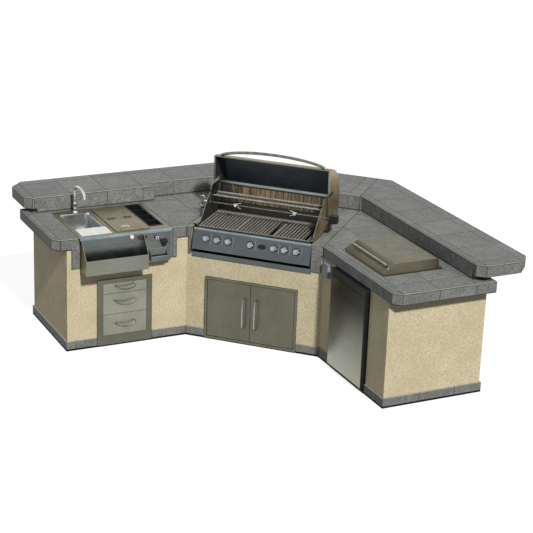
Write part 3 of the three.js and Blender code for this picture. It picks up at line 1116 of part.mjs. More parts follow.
// Side burner: a dropped-in tub with two burner heads, a cast grate and a hinged cover
function sideBurner() {
  const group = new THREE.Group();
  group.position.z = counterHeight;
  rightWing.add(group);
  const { x0, x1, y0, y1 } = burnerBox;
  const { flange, lap, wall, depth, ledge } = burner;
  const tubPlace = shrunk([x0, x1, y0, y1], gap);
  const inside = shrunk([x0, x1, y0 + burnerLid.frontInset, y1], wall + lap);
  const middleX = (x0 + x1) / 2;
  const middleY = (inside[2] + inside[3]) / 2;
  const grateBottom = flange - burner.grateThickness - gap;
  const axisZ = flange + hingeBarrel.radius + gap;
  const axisY = y1 - burnerLid.backInset + hingeBarrel.radius + gap;
  const hinges = [x0 + burner.width / 4, x1 - burner.width / 4]
    .map((x) => hinge(x, axisY, axisZ, lap + hingeBarrel.radius, 0));
  const neck = burner.headRadius * 2 / 3;
  const brim = burner.headHeight * 2 / 3;
  const headProfile = [[0, 0], [neck, 0], [neck, brim], [burner.headRadius, brim],
    [burner.headRadius, burner.headHeight], [0, burner.headHeight + wall]];
  const heads = [-1, 1].map((side) => turned(headProfile, 'up',
    [middleX + side * burner.headSpacing / 2, middleY, -depth + wall - gap], 20));
  const tub = roundedBox([x0 - lap, x1 + lap, y0 - lap, y1 + lap], lap, gap, flange)
    .add(roundedBox(tubPlace, lap, -depth, flange))
    .subtract(roundedBox(shrunk(inside, ledge), lap, -depth + wall, flange + overrun))
    .subtract(roundedBox(inside, lap, grateBottom - gap, flange + overrun))
    .add(joined(...heads, ...hinges.map(({ fixed }) => fixed)));
  add(group, 'burner_body', tub, 'steel');

  const grate = shrunk(inside, runningClearance);
  const [gx0, gx1, gy0, gy1] = grate;
  const bar = burner.grateRod;
  const rim = roundedBox(grate, lap, grateBottom, grateBottom + burner.grateThickness)
    .subtract(block(gx0 + bar, gx1 - bar, gy0 + bar, gy1 - bar, grateBottom - overrun, flange + overrun));
  const across = repeat(burner.grateRods, (i) => {
    const y = gy0 + (gy1 - gy0) * (i + 1) / (burner.grateRods + 1) - bar / 2;
    return block(gx0 + bar / 2, gx1 - bar / 2, y, y + bar, grateBottom + gap,
      grateBottom + burner.grateThickness * 2 / 3);
  });
  const along = repeat(3 * burner.grateRods, (i) => {
    const x = gx0 + (gx1 - gx0) * (i + 1) / (3 * burner.grateRods + 1) - bar / 2;
    return block(x, x + bar, gy0 + bar / 2, gy1 - bar / 2, grateBottom + 2 * gap,
      grateBottom + burner.grateThickness - gap);
  });
  add(group, 'burner_grate', joined(rim, across, along), 'castIron');

  const front = y0 + burnerLid.frontInset;
  const back = y1 - burnerLid.backInset;
  const foot = flange + gap;
  const top = foot + burnerLid.height;
  const section = [[front, foot], [front, foot + burnerLid.hem], [front + burnerLid.slope, top - lap / 2],
    [front + burnerLid.slope + lap, top], [back - 2 * lap, top], [back - lap / 2, top - lap / 2],
    [back, foot]];
  const lining = ribbon(section, burnerLid.sheet).slice(section.length);
  const { sideSlope, handleShare } = burnerLid;
  const ahead = (by, below) => {
    const out = by - sideSlope * below / burnerLid.height;
    return [[x0 + out, foot - below], [x1 - out, foot - below],
      [x1 - by - sideSlope, top - by], [x0 + by + sideSlope, top - by]];
  };
  const underLining = [lining[0], lining[lining.length - 1],
    [front + burnerLid.sheet, foot - overrun], [back - burnerLid.sheet, foot - overrun]];
  const hollow = acrossX(lining, x0, x1).add(acrossX(underLining, x0, x1))
    .intersect(acrossY(ahead(burnerLid.sheet, overrun), front, back));
  const shell = acrossX(section, x0, x1)
    .intersect(acrossY(ahead(0, 0), front - overrun, back + overrun)).subtract(hollow);
  const gripY = front + burnerLid.slope * handleShare;
  const gripZ = foot + burnerLid.height * handleShare;
  const tilt = Math.atan2(burnerLid.slope, burnerLid.height - lap / 2);
  const outY = gripY - burnerLid.standoff * Math.cos(tilt);
  const outZ = gripZ + burnerLid.standoff * Math.sin(tilt);
  const posts = [x0 + burnerLid.handleInset, x1 - burnerLid.handleInset]
    .map((x) => rod([x, gripY + burnerLid.sheet, gripZ - burnerLid.sheet], [x, outY, outZ],
      burnerLid.handleRadius, 8));
  const grip = rod([x0 + burnerLid.handleInset - lap, outY, outZ],
    [x1 - burnerLid.handleInset + lap, outY, outZ], burnerLid.handleRadius, 10);
  const cover = joined(shell, ...hinges.map(({ moving }) => moving), ...posts, grip);
  add(group, 'burner_cover', cover, 'steel');
}

// Fridge: an insulated cabinet with a control band above the door, a shelf, and a door on pivot pins
function fridgeParts() {
  const { x0, x1, z0, z1 } = fridgeBox;
  const { wall, depth, front, band: bandHeight, bandReach } = fridge;
  const { doorBottom, doorThickness, clearance, ledge } = fridge;
  const [cx0, cx1] = [x0 + clearance, x1 - clearance];
  const bandBottom = z1 - bandHeight;
  const inside = [cx0 + wall, cx1 - wall];
  const floor = z0 + fridge.plinth;
  const doorTop = bandBottom - clearance;
  const hingeX = cx1 - 2 * pivot.inset;
  const hingeY = -bandReach + 2 * pivot.inset;
  const tabTop = doorBottom - clearance / 2;
  const shelfZ = floor + (bandBottom - floor) * fridge.shelfUpShare;
  const shelfLedges = [[inside[0] - gap, inside[0] + ledge], [inside[1] - ledge, inside[1] + gap]]
    .map(([a, b]) => block(a, b, front + wall, depth - wall, shelfZ - gap - sheet, shelfZ - gap));
  const bores = [[tabTop - overrun, tabTop + overrun], [bandBottom - overrun, bandBottom + pivot.length]]
    .map(([a, b]) => rod([hingeX, hingeY, a], [hingeX, hingeY, b], pivot.radius + pinClearance, 12));
  const cabinet = block(cx0, cx1, front, depth, z0, z1)
    .subtract(block(inside[0], inside[1], front - overrun, depth - wall, floor, bandBottom))
    .add(block(cx0, cx1, -bandReach, front, bandBottom, z1))
    .add(block(hingeX - 3 * pivot.inset, cx1, hingeY - 2 * pivot.inset, front + gap,
      tabTop - 2 * sheet, tabTop))
    .subtract(joined(...bores))
    .add(joined(...shelfLedges));
  const lockAt = [cx0 + (cx1 - cx0) * fridge.lockShare, -bandReach, z1 - bandHeight / 2];
  const lock = turned([[0, -fridge.lockProud], [fridge.lock, -fridge.lockProud],
    [fridge.lock, fridge.lockProud], [0, fridge.lockProud]], 'front', lockAt);
  add(rightWing, 'fridge_cabinet', cabinet.add(lock), 'blackPlastic');

  const doorBack = hingeY + (doorThickness / 2);
  const panelPiece = prism(roundedRectangle(cx0, cx1, doorBack - doorThickness, doorBack, pivot.inset),
    doorBottom, doorTop);
  const pins = [[doorBottom + gap, doorBottom - pivot.length * 2 / 3],
    [doorTop - gap, doorTop + pivot.length * 2 / 3]]
    .map(([a, b]) => rod([hingeX, hingeY, a], [hingeX, hingeY, b], pivot.radius, 12));
  const seal = block(inside[0] - wall / 2, inside[1] + wall / 2, doorBack - gap, front - gap,
    floor - wall / 2, doorTop - clearance)
    .subtract(block(inside[0], inside[1], doorBack - overrun / 3, doorBack + overrun, floor,
      doorTop - 2 * wall));
  add(rightWing, 'fridge_door', joined(panelPiece, ...pins).add(seal), 'steel');

  const [sx0, sx1] = [inside[0] + clearance, inside[1] - clearance];
  const [sy0, sy1] = [front + wall, depth - wall - clearance];
  const border = block(sx0, sx1, sy0, sy1, shelfZ, shelfZ + fridge.shelfThickness)
    .subtract(block(sx0 + fridge.shelfThickness, sx1 - fridge.shelfThickness, sy0 + fridge.shelfThickness,
      sy1 - fridge.shelfThickness, shelfZ - overrun, shelfZ + overrun));
  const wires = repeat(fridge.rods, (i) => {
    const x = sx0 + (sx1 - sx0) * (i + 1) / (fridge.rods + 1);
    return block(x - fridge.rod / 2, x + fridge.rod / 2, sy0 + fridge.rod, sy1 - fridge.rod, shelfZ,
      shelfZ + fridge.rod);
  });
  add(rightWing, 'fridge_shelf', border.add(wires), 'chrome');
}

// Weatherproof socket: a plate on the stucco and a cover that lifts
function socketParts() {
  const { fromCorner, width, height, top, plate, coverDepth, border } = socket;
  const [x0, x1] = [fromCorner, fromCorner + width];
  const [z0, z1] = [counterHeight - top - height, counterHeight - top];
  const back = tileProud - gap;
  const face = back - plate;
  const axisZ = z1 - hingeBarrel.radius;
  const middleX = (x0 + x1) / 2;
  const outlet = [-1, 1].map((side) => {
    const z = (z0 + z1) / 2 + side * height / 6;
    return acrossY(roundedRectangle(middleX - width / 5, middleX + width / 5, z - height / 9, z + height / 9,
      width / 9), face - plate / 2, face + gap);
  });
  const hingeY = face - hingeBarrel.radius;
  const ears = [-1, 1].map((side) => {
    const x = middleX + side * (width / 2 - hingeBarrel.ear / 2);
    return block(x - hingeBarrel.ear / 2, x + hingeBarrel.ear / 2, hingeY - hingeBarrel.radius, face + gap,
      axisZ - hingeBarrel.radius, axisZ + hingeBarrel.radius);
  });
  const pin = rod([x0 + gap, hingeY, axisZ], [x1 - gap, hingeY, axisZ], hingeBarrel.pin, 10);
  const base = joined(acrossY(roundedRectangle(x0, x1, z0, z1, border), face, back), ...outlet, ...ears, pin);
  add(rightWing, 'socket_plate', base, 'greyPlastic');

  const [cx0, cx1] = [x0 + hingeBarrel.ear + gap, x1 - hingeBarrel.ear - gap];
  const coverFace = face - coverDepth;
  const shellPiece = acrossY(roundedRectangle(cx0, cx1, z0, axisZ, border), coverFace, face - gap)
    .subtract(acrossY(rectangle(cx0 + sheet, cx1 - sheet, z0 + sheet, axisZ + overrun), coverFace + sheet,
      face + overrun));
  const barrel = turned([[0, 0], [hingeBarrel.radius - gap, 0], [hingeBarrel.radius - gap, cx1 - cx0],
    [0, cx1 - cx0]], 'right', [cx0, hingeY, axisZ], 12);
  const roof = acrossX([[coverFace, axisZ - sheet], [hingeY, axisZ + sheet], [hingeY, axisZ],
    [coverFace, axisZ - 2 * sheet]], cx0, cx1);
  const bore = rod([cx0 - overrun, hingeY, axisZ], [cx1 + overrun, hingeY, axisZ],
    hingeBarrel.pin + pinClearance, 12);
  add(rightWing, 'socket_cover', joined(shellPiece, barrel, roof).subtract(bore), 'greyPlastic');
}

baseShells();
kickTiles();
counters();
bars();
stationBody();
iceLids();
boardAndTray();
faucetParts();
stationFittings();
speedRail();
drawerStack();
firebox();
controlPanel();
gasTrain();
grateSet();
heatPlates();
warmingRack();
rotisserie();
hoodParts();
dripTrayPiece();
doorPair();
sideBurner();
fridgeParts();
socketParts();

const bounds = new THREE.Box3().setFromObject(island);
const centre = bounds.getCenter(new THREE.Vector3());
island.position.set(-centre.x, -centre.y, -bounds.min.z);

export default island;
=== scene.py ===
"""Looks of the outdoor kitchen island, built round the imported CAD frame.

The tiled sections are laid again tile by tile over their solids. Sheet metal and castings keep
their solids' shapes and get small edge radii. Round pieces such as the knobs, the spout, the spit
and the hood's handle are surfaces swept or turned finely. Every surface has a procedural material
in object coordinates. All lengths are metres in the frame's own axes.
"""

import json
import logging
import math
from collections.abc import Callable, Iterable, Sequence
from dataclasses import dataclass
from enum import Enum, IntEnum
from functools import reduce
from operator import add

import bmesh
import bpy
import numpy as np
from mathutils import Matrix, Vector

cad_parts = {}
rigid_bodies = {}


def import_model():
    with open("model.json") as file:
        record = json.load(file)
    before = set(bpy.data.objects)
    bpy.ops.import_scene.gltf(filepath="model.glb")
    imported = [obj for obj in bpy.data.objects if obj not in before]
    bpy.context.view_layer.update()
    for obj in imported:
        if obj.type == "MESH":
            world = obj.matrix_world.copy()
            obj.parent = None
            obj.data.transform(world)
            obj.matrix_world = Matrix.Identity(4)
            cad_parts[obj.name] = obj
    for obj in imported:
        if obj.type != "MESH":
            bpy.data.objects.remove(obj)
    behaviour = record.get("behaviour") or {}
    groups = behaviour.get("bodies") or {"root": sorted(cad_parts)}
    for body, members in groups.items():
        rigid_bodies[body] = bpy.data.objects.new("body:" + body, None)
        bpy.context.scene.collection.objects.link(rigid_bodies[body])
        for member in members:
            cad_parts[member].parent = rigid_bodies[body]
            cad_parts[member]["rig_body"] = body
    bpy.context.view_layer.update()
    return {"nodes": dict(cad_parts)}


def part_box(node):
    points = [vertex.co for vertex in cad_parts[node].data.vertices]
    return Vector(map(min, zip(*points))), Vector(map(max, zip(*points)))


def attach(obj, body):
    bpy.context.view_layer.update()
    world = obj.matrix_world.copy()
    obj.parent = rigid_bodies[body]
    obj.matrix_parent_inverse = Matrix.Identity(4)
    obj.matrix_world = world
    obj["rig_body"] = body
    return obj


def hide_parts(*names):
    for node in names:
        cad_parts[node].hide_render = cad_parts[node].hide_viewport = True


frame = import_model()

log = logging.getLogger("island")

Triple = tuple[float, float, float]
Socket = bpy.types.NodeSocket
ShaderNode = bpy.types.Node

# Sizes shared with the solids: how far the tiles stand out of the stucco, where the middle runs
# meet the wings' runs, half the middle section's front, the grill's middle along it, the height of
# the counter, the turn of each wing, and the air between a fine piece and the solid under it
TILE_PROUD = 0.012
SEAM = 0.56
FRONT_HALF = 0.555
GRILL_MIDDLE = -0.03
COUNTER = 0.914
WING_TURN = math.pi / 4
GAP = 0.0003

# The hood's hinge across and above the grill's deck, and how far the hood is drawn open
HINGE_BACK, HINGE_RISE, HOOD_OPEN = 0.505, 0.071, math.radians(88)

# The middle of the sloping control panel, and how far its face leans back for how much height
PANEL_FRONT, PANEL_DROP, PANEL_LEAN, PANEL_HEIGHT = 0.0161, 0.0869, 0.032, 0.138

# Directions that zones look in
FORWARDS, UPWARDS, DOWNWARDS = (0, -1, 0), (0, 0, 1), (0, 0, -1)
RIGHTWARDS, LEFTWARDS = (1, 0, 0), (-1, 0, 0)

# A face is level when its normal's height is above the one, and upright when below the other
LEVEL, UPRIGHT = 0.99, 0.1

# Height up to which dust gathers
DUST_HEIGHT = 0.26


def island_shift() -> Vector:
    """Finds how far the solids were moved to stand under the middle of their box.

    Returns:
        The shift of the drawing's origin.
    """
    low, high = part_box("base_center")
    return Vector(((low.x + high.x) / 2, low.y - TILE_PROUD, 0.0))


SHIFT = island_shift()


def read(items: bpy.types.bpy_prop_collection, name: str, width: int = 3,
         kind: type = float) -> np.ndarray:
    """Reads one property of all of a mesh's points, corners or faces.

    Args:
        items: the points, corners or faces.
        name: the property.
        width: how many numbers it has.
        kind: type of these numbers.

    Returns:
        One row for each item, or a plain row for single numbers.
    """
    values = np.empty(len(items) * width, dtype=kind)
    items.foreach_get(name, values)
    return values.reshape(-1, width) if width > 1 else values


class Facing(Enum):
    """Which way a turned piece points: how far it is tilted from upright, about X."""

    FRONT = math.pi / 2
    UP = 0.0


@dataclass(frozen=True)
class Section:
    """Axes that a part of the island is built in.

    Attributes:
        origin: where the axes start in the drawing.
        turn: how far they are turned about Z.
        tilt: how far they are then tilted about their own X.
    """

    origin: Triple
    turn: float = 0.0
    tilt: float = 0.0

    @property
    def matrix(self) -> Matrix:
        """Goes from the section's axes to the frame's."""
        return (Matrix.Translation(Vector(self.origin) + SHIFT)
                @ Matrix.Rotation(self.turn, 4, "Z") @ Matrix.Rotation(self.tilt, 4, "X"))

    def local(self, points: np.ndarray) -> np.ndarray:
        """Turns points of the frame, one to a row, into the section's axes."""
        inverse = np.array(self.matrix.inverted())
        return points @ inverse[:3, :3].T + inverse[:3, 3]

    def local_directions(self, directions: np.ndarray) -> np.ndarray:
        """Turns directions of the frame, one to a row, into the section's axes."""
        return directions @ np.array(self.matrix.to_3x3())

    def extent(self, node: str) -> tuple[np.ndarray, np.ndarray]:
        """Measures a CAD node along the section's axes.

        Args:
            node: name of the CAD node.

        Returns:
            Its lowest and highest corner.
        """
        local = self.local(read(frame["nodes"][node].data.vertices, "co"))
        return local.min(0), local.max(0)

    def seat(self, x: float, y: float, z: float, facing: Facing = Facing.FRONT) -> Matrix:
        """Gives the place of a piece whose own Z points out of the surface that it sits on.

        Args:
            x: place along the section.
            y: place across it.
            z: height.
            facing: where the piece points.

        Returns:
            The matrix from the piece's axes to the frame's.
        """
        return (self.matrix @ Matrix.Translation((x, y, z))
                @ Matrix.Rotation(facing.value, 4, "X"))


class Place(Enum):
    """The parts of the island with axes of their own."""

    WHOLE = Section((0.0, 0.0, 0.0))
    LEFT = Section((-FRONT_HALF, 0.0, 0.0), WING_TURN)
    RIGHT = Section((FRONT_HALF, 0.0, 0.0), -WING_TURN)
    STATION = Section((-FRONT_HALF, 0.0, COUNTER), WING_TURN)
    SIDE_BURNER = Section((FRONT_HALF, 0.0, COUNTER), -WING_TURN)
    GRILL = Section((GRILL_MIDDLE, 0.0, COUNTER))
    PANEL = Section((GRILL_MIDDLE, PANEL_FRONT, COUNTER - PANEL_DROP), 0.0,
                    -math.atan2(PANEL_LEAN, PANEL_HEIGHT))
    HOOD = Section((GRILL_MIDDLE, HINGE_BACK, COUNTER + HINGE_RISE), 0.0, -HOOD_OPEN)


def rgb(code: str) -> tuple[float, float, float, float]:
    """Turns a written sRGB colour into linear RGBA.

    Args:
        code: six hex digits.

    Returns:
        Red, green, blue and alpha.
    """
    parts = [int(code[i:i + 2], 16) / 255 for i in (0, 2, 4)]
    return (*(c / 12.92 if c <= 0.04045 else ((c + 0.055) / 1.055) ** 2.4 for c in parts), 1.0)


class Wiring:
    """Small helper that wires a node tree."""

    def __init__(self, tree: bpy.types.NodeTree) -> None:
        """Starts from an empty tree."""
        self.tree = tree
        self.tree.nodes.clear()

    def node(self, kind: str, values: dict | None = None, **settings: object) -> ShaderNode:
        """Adds a node.

        Args:
            kind: Blender's node type name.
            values: socket name or index to a value or to another node's socket.
            **settings: the node's own properties.

        Returns:
            The new node.
        """
        made = self.tree.nodes.new(kind)
        for name, value in settings.items():
            setattr(made, name, value)
        for key, value in (values or {}).items():
            self.set(made, key, value)
        return made

    def set(self, node: ShaderNode, key: int | str, value: object) -> None:
        """Sets or links one input socket.

        Args:
            node: the node.
            key: the socket's name or index.
            value: a value or another node's socket.
        """
        if isinstance(value, Socket):
            self.tree.links.new(value, node.inputs[key])
        else:
            node.inputs[key].default_value = value

    def math(self, operation: str, a: object, b: object) -> Socket:
        """Adds a Math node and returns its result."""
        return self.node("ShaderNodeMath", {0: a, 1: b}, operation=operation).outputs[0]

    def plus(self, first: object, second: object, share: float) -> Socket:
        """Adds a share of the second value to the first."""
        return self.math("ADD", first, self.math("MULTIPLY", second, share))

    def mix(self, share: object, a: object, b: object, blend: str = "MIX") -> Socket:
        """Mixes two colours.

        Args:
            share: how much of the second one.
            a: the first colour.
            b: the second colour.
            blend: Blender's name of the way of mixing.

        Returns:
            The mixed colour.
        """
        made = self.node("ShaderNodeMix", data_type="RGBA", blend_type=blend)
        for key, value in ((0, share), (6, a), (7, b)):
            self.set(made, key, value)
        return made.outputs[2]

    def ramp(self, value: object, low: float, high: float, to_low: float = 0.0,
             to_high: float = 1.0) -> Socket:
        """Maps a range of values to another, clamped."""
        limits = {0: value, 1: low, 2: high, 3: to_low, 4: to_high}
        return self.node("ShaderNodeMapRange", limits).outputs[0]

    def noise(self, vector: Socket, scale: object, detail: float = 3.0,
              rough: float = 0.55) -> Socket:
        """Adds a noise texture and returns its factor."""
        values = {"Vector": vector, "Scale": scale, "Detail": detail, "Roughness": rough}
        return self.node("ShaderNodeTexNoise", values).outputs[0]

    def stretched(self, vector: Socket, scale: object) -> Socket:
        """Stretches coordinates along the axes and returns them."""
        return self.node("ShaderNodeMapping", {"Vector": vector, "Scale": scale}).outputs[0]

    def height(self, vector: Socket) -> Socket:
        """Takes the height out of coordinates."""
        return self.node("ShaderNodeSeparateXYZ", {0: vector}).outputs[2]


@dataclass(frozen=True)
class Effect:
    """A shader node group that several materials use.

    Attributes:
        name: the group's name.
        inputs: socket type, name and default of each input.
        outputs: socket type and name of each output.
        fill: wires the group from its input node and its output node.
    """

    name: str
    inputs: tuple[tuple[str, str, object], ...]
    outputs: tuple[tuple[str, str], ...]
    fill: Callable[[Wiring, ShaderNode, ShaderNode], None]

    def tree(self) -> bpy.types.NodeTree:
        """Makes the group the first time that it is asked for.

        Returns:
            The group.
        """
        if self.name in bpy.data.node_groups:
            return bpy.data.node_groups[self.name]
        tree = bpy.data.node_groups.new(self.name, "ShaderNodeTree")
        for kind, label, default in self.inputs:
            socket = tree.interface.new_socket(label, in_out="INPUT", socket_type=kind)
            if default is not None:
                socket.default_value = default
        for kind, label in self.outputs:
            tree.interface.new_socket(label, in_out="OUTPUT", socket_type=kind)
        wiring = Wiring(tree)
        self.fill(wiring, wiring.node("NodeGroupInput"), wiring.node("NodeGroupOutput"))
        return tree

    def placed(self, wiring: Wiring, **values: object) -> ShaderNode:
        """Puts the group into a material.

        Args:
            wiring: the material's wiring.
            **values: the inputs, with underscores for spaces.

        Returns:
            The group's node.
        """
        named = {key.replace("_", " "): value for key, value in values.items()}
        return wiring.node("ShaderNodeGroup", named, node_tree=self.tree())


def fill_grime(wiring: Wiring, start: ShaderNode, end: ShaderNode) -> None:
    """Wires dust that gathers in patches below a height.

    Args:
        wiring: the group's wiring.
        start: its input node.
        end: its output node.
    """
    vector = start.outputs["Vector"]
    low = wiring.ramp(wiring.height(vector), 0.0, DUST_HEIGHT, 1.0, 0.0)
    patch = wiring.ramp(wiring.noise(vector, 6.0, detail=5.0), 0.35, 0.75)
    wiring.set(end, "Grime", wiring.math("MULTIPLY", low, patch))


def fill_weathered(wiring: Wiring, start: ShaderNode, end: ShaderNode) -> None:
    """Wires a colour that is mottled, speckled and dusty low down.

    Args:
        wiring: the group's wiring.
        start: its input node.
        end: its output node.
    """
    given = start.outputs
    vector, dark = given["Vector"], given["Dark"]
    mottle = wiring.noise(vector, given["Mottle Scale"], detail=5.0, rough=0.6)
    grain = wiring.noise(vector, given["Grain Scale"], rough=0.7)
    grime = GRIME.placed(wiring, Vector=vector).outputs["Grime"]
    shade = wiring.mix(wiring.ramp(mottle, 0.32, 0.68), dark, given["Light"])
    pits = wiring.mix(wiring.ramp(grain, 0.38, 0.52), given["Speck"], shade)
    dusty = wiring.mix(wiring.math("MULTIPLY", grime, given["Dust"]), pits, dark)
    for label, value in (("Color", dusty), ("Grain", grain), ("Mottle", mottle)):
        wiring.set(end, label, value)


def fill_brushed(wiring: Wiring, start: ShaderNode, end: ShaderNode) -> None:
    """Wires the fine parallel scratches, clouds and finger smears of brushed steel.

    Args:
        wiring: the group's wiring.
        start: its input node.
        end: its output node.
    """
    vector = start.outputs["Vector"]
    fine = wiring.noise(wiring.stretched(vector, start.outputs["Stretch"]), 700.0, detail=2.0)
    cloud = wiring.noise(vector, 5.0, detail=4.0)
    wiring.set(end, "Streaks", wiring.plus(wiring.math("MULTIPLY", fine, 0.6), cloud, 0.4))
    wiring.set(end, "Smears", wiring.noise(vector, 14.0, detail=5.0))


VECTOR, NUMBER, COLOUR = "NodeSocketVector", "NodeSocketFloat", "NodeSocketColor"
GRIME = Effect("Grime", ((VECTOR, "Vector", None),), ((NUMBER, "Grime"),), fill_grime)
WEATHERED = Effect(
    "Weathered",
    ((VECTOR, "Vector", None), (COLOUR, "Dark", None), (COLOUR, "Light", None),
     (COLOUR, "Speck", None), (NUMBER, "Mottle Scale", 4.0), (NUMBER, "Grain Scale", 300.0),
     (NUMBER, "Dust", 0.35)),
    ((COLOUR, "Color"), (NUMBER, "Grain"), (NUMBER, "Mottle")), fill_weathered)
BRUSHED = Effect("Brushed", ((VECTOR, "Vector", None), (VECTOR, "Stretch", None)),
                 ((NUMBER, "Streaks"), (NUMBER, "Smears")), fill_brushed)


@dataclass(frozen=True)
class Finish:
    """A procedural material, built the first time that it is used.

    Attributes:
        slot: the record's material slot that it belongs to.
        dark: hex colour of its darker parts.
        light: hex colour of its lighter parts.
        rough: middle roughness.
    """

    slot: str
    dark: str
    light: str
    rough: float = 0.5

    def material(self, name: str) -> bpy.types.Material:
        """Makes the material or finds it.

        Args:
            name: the material's name.

        Returns:
            The material.
        """
        if name in bpy.data.materials:
            return bpy.data.materials[name]
        material = bpy.data.materials.new(name)
        material.use_nodes = True
        wiring = Wiring(material.node_tree)
        output = wiring.node("ShaderNodeOutputMaterial")
        surface = wiring.node("ShaderNodeBsdfPrincipled")
        wiring.tree.links.new(surface.outputs[0], output.inputs[0])
        self.fill(wiring, surface, wiring.node("ShaderNodeTexCoord").outputs["Object"])
        return material

    def fill(self, wiring: Wiring, surface: ShaderNode, vector: Socket) -> None:
        """Wires the surface. Each kind of finish has its own."""
        raise NotImplementedError

    def colour(self, wiring: Wiring, value: Socket, low: float, high: float) -> Socket:
        """Goes from the dark colour to the light one while a value goes from low to high."""
        return wiring.mix(wiring.ramp(value, low, high), rgb(self.dark), rgb(self.light))

    def gloss(self, wiring: Wiring, value: Socket, below: float, above: float) -> Socket:
        """Lets the roughness wander below and above its middle with a mottled value."""
        least = max(self.rough - below, 0.03)
        return wiring.ramp(value, 0.3, 0.7, least, self.rough + above)

    @staticmethod
    def bump(wiring: Wiring, surface: ShaderNode, height: Socket, strength: float,
             depth: float) -> None:
        """Adds relief from a height."""
        values = {"Strength": strength, "Distance": depth, "Height": height}
        wiring.set(surface, "Normal", wiring.node("ShaderNodeBump", values).outputs[0])


@dataclass(frozen=True)
class Mineral(Finish):
    """Mottled, speckled and dusty ground of stucco, tile and grout.

    Attributes:
        speck: hex colour of its specks; the dark colour where it is empty.
        mottle: how fine its mottling is.
        grain: how fine its specks are.
        dust: how strongly dust shows near the floor.
    """

    speck: str = ""
    mottle: float = 14.0
    grain: float = 700.0
    dust: float = 0.4

    def ground(self, wiring: Wiring, vector: Socket) -> ShaderNode:
        """Places the weathered ground."""
        return WEATHERED.placed(
            wiring, Vector=vector, Dark=rgb(self.dark), Light=rgb(self.light),
            Speck=rgb(self.speck or self.dark), Mottle_Scale=self.mottle, Grain_Scale=self.grain,
            Dust=self.dust)


@dataclass(frozen=True)
class Stucco(Mineral):
    """Sanded stucco: grit in two sizes, soft trowel marks and dust low down."""

    speck: str = "b9ae8f"
    mottle: float = 5.0
    grain: float = 105.0
    dust: float = 0.25

    def fill(self, wiring: Wiring, surface: ShaderNode, vector: Socket) -> None:
        """Wires grit and mottling.

        Args:
            wiring: the material's wiring.
            surface: its shader.
            vector: its object coordinates.
        """
        wiring.set(surface, "Base Color", self.ground(wiring, vector).outputs["Color"])
        wiring.set(surface, "Roughness", self.rough)
        wiring.set(surface, "Specular IOR Level", 0.25)
        fine = wiring.noise(vector, 170.0, detail=4.0, rough=0.7)
        relief = wiring.plus(fine, wiring.noise(vector, 62.0), 0.8)
        self.bump(wiring, surface, relief, strength=0.7, depth=0.0032)


@dataclass(frozen=True)
class Tile(Mineral):
    """Matt slate tile whose shade changes a little from tile to tile."""

    speck: str = "606160"
    mottle: float = 13.0
    grain: float = 95.0
    dust: float = 0.3

    def fill(self, wiring: Wiring, surface: ShaderNode, vector: Socket) -> None:
        """Wires cleft relief, speckle and a tone for each tile.

        Args:
            wiring: the material's wiring.
            surface: its shader.
            vector: its object coordinates.
        """
        ground = self.ground(wiring, vector).outputs
        each = wiring.node("ShaderNodeAttribute", attribute_name="tile_tone").outputs["Fac"]
        tone = wiring.ramp(each, 0.0, 1.0, 0.9, 1.06)
        wiring.set(surface, "Base Color", wiring.mix(1.0, ground["Color"], tone, "MULTIPLY"))
        wiring.set(surface, "Roughness", self.gloss(wiring, ground["Mottle"], 0.09, 0.09))
        wiring.set(surface, "Specular IOR Level", 0.12)
        cleft = wiring.noise(vector, 60.0, detail=6.0, rough=0.65)
        relief = wiring.plus(cleft, ground["Grain"], 0.4)
        self.bump(wiring, surface, relief, strength=0.35, depth=0.002)


@dataclass(frozen=True)
class Grout(Mineral):
    """Sandy grout."""

    def fill(self, wiring: Wiring, surface: ShaderNode, vector: Socket) -> None:
        """Wires fine sand.

        Args:
            wiring: the material's wiring.
            surface: its shader.
            vector: its object coordinates.
        """
        ground = self.ground(wiring, vector).outputs
        wiring.set(surface, "Base Color", ground["Color"])
        wiring.set(surface, "Roughness", self.rough)
        self.bump(wiring, surface, ground["Grain"], strength=0.5, depth=0.001)


class Brushing(Enum):
    """Which way scratches run: the pattern's stretch along X, Y and Z, small along the scratch."""

    LEVEL = (0.02, 0.02, 1.0)
    UPRIGHT = (1.0, 1.0, 0.02)
    ROUND = (1.0, 0.02, 0.02)


@dataclass(frozen=True)
class Steel(Finish):
    """Brushed steel.

    Attributes:
        along: which way its scratches run.
    """

    along: Brushing = Brushing.LEVEL

    def fill(self, wiring: Wiring, surface: ShaderNode, vector: Socket) -> None:
        """Wires scratches, smears and a changing sheen.

        Args:
            wiring: the material's wiring.
            surface: its shader.
            vector: its object coordinates.
        """
        brushed = BRUSHED.placed(wiring, Vector=vector, Stretch=self.along.value).outputs
        streaks = brushed["Streaks"]
        wiring.set(surface, "Base Color", self.coloured(wiring, vector, streaks))
        wiring.set(surface, "Metallic", 1.0)
        wiring.set(surface, "Roughness", self.gloss(wiring, brushed["Smears"], 0.05, 0.08))
        self.bump(wiring, surface, streaks, strength=0.06, depth=0.0005)

    def coloured(self, wiring: Wiring, _vector: Socket, streaks: Socket) -> Socket:
        """Colours the steel by its streaks."""
        return self.colour(wiring, streaks, 0.36, 0.64)


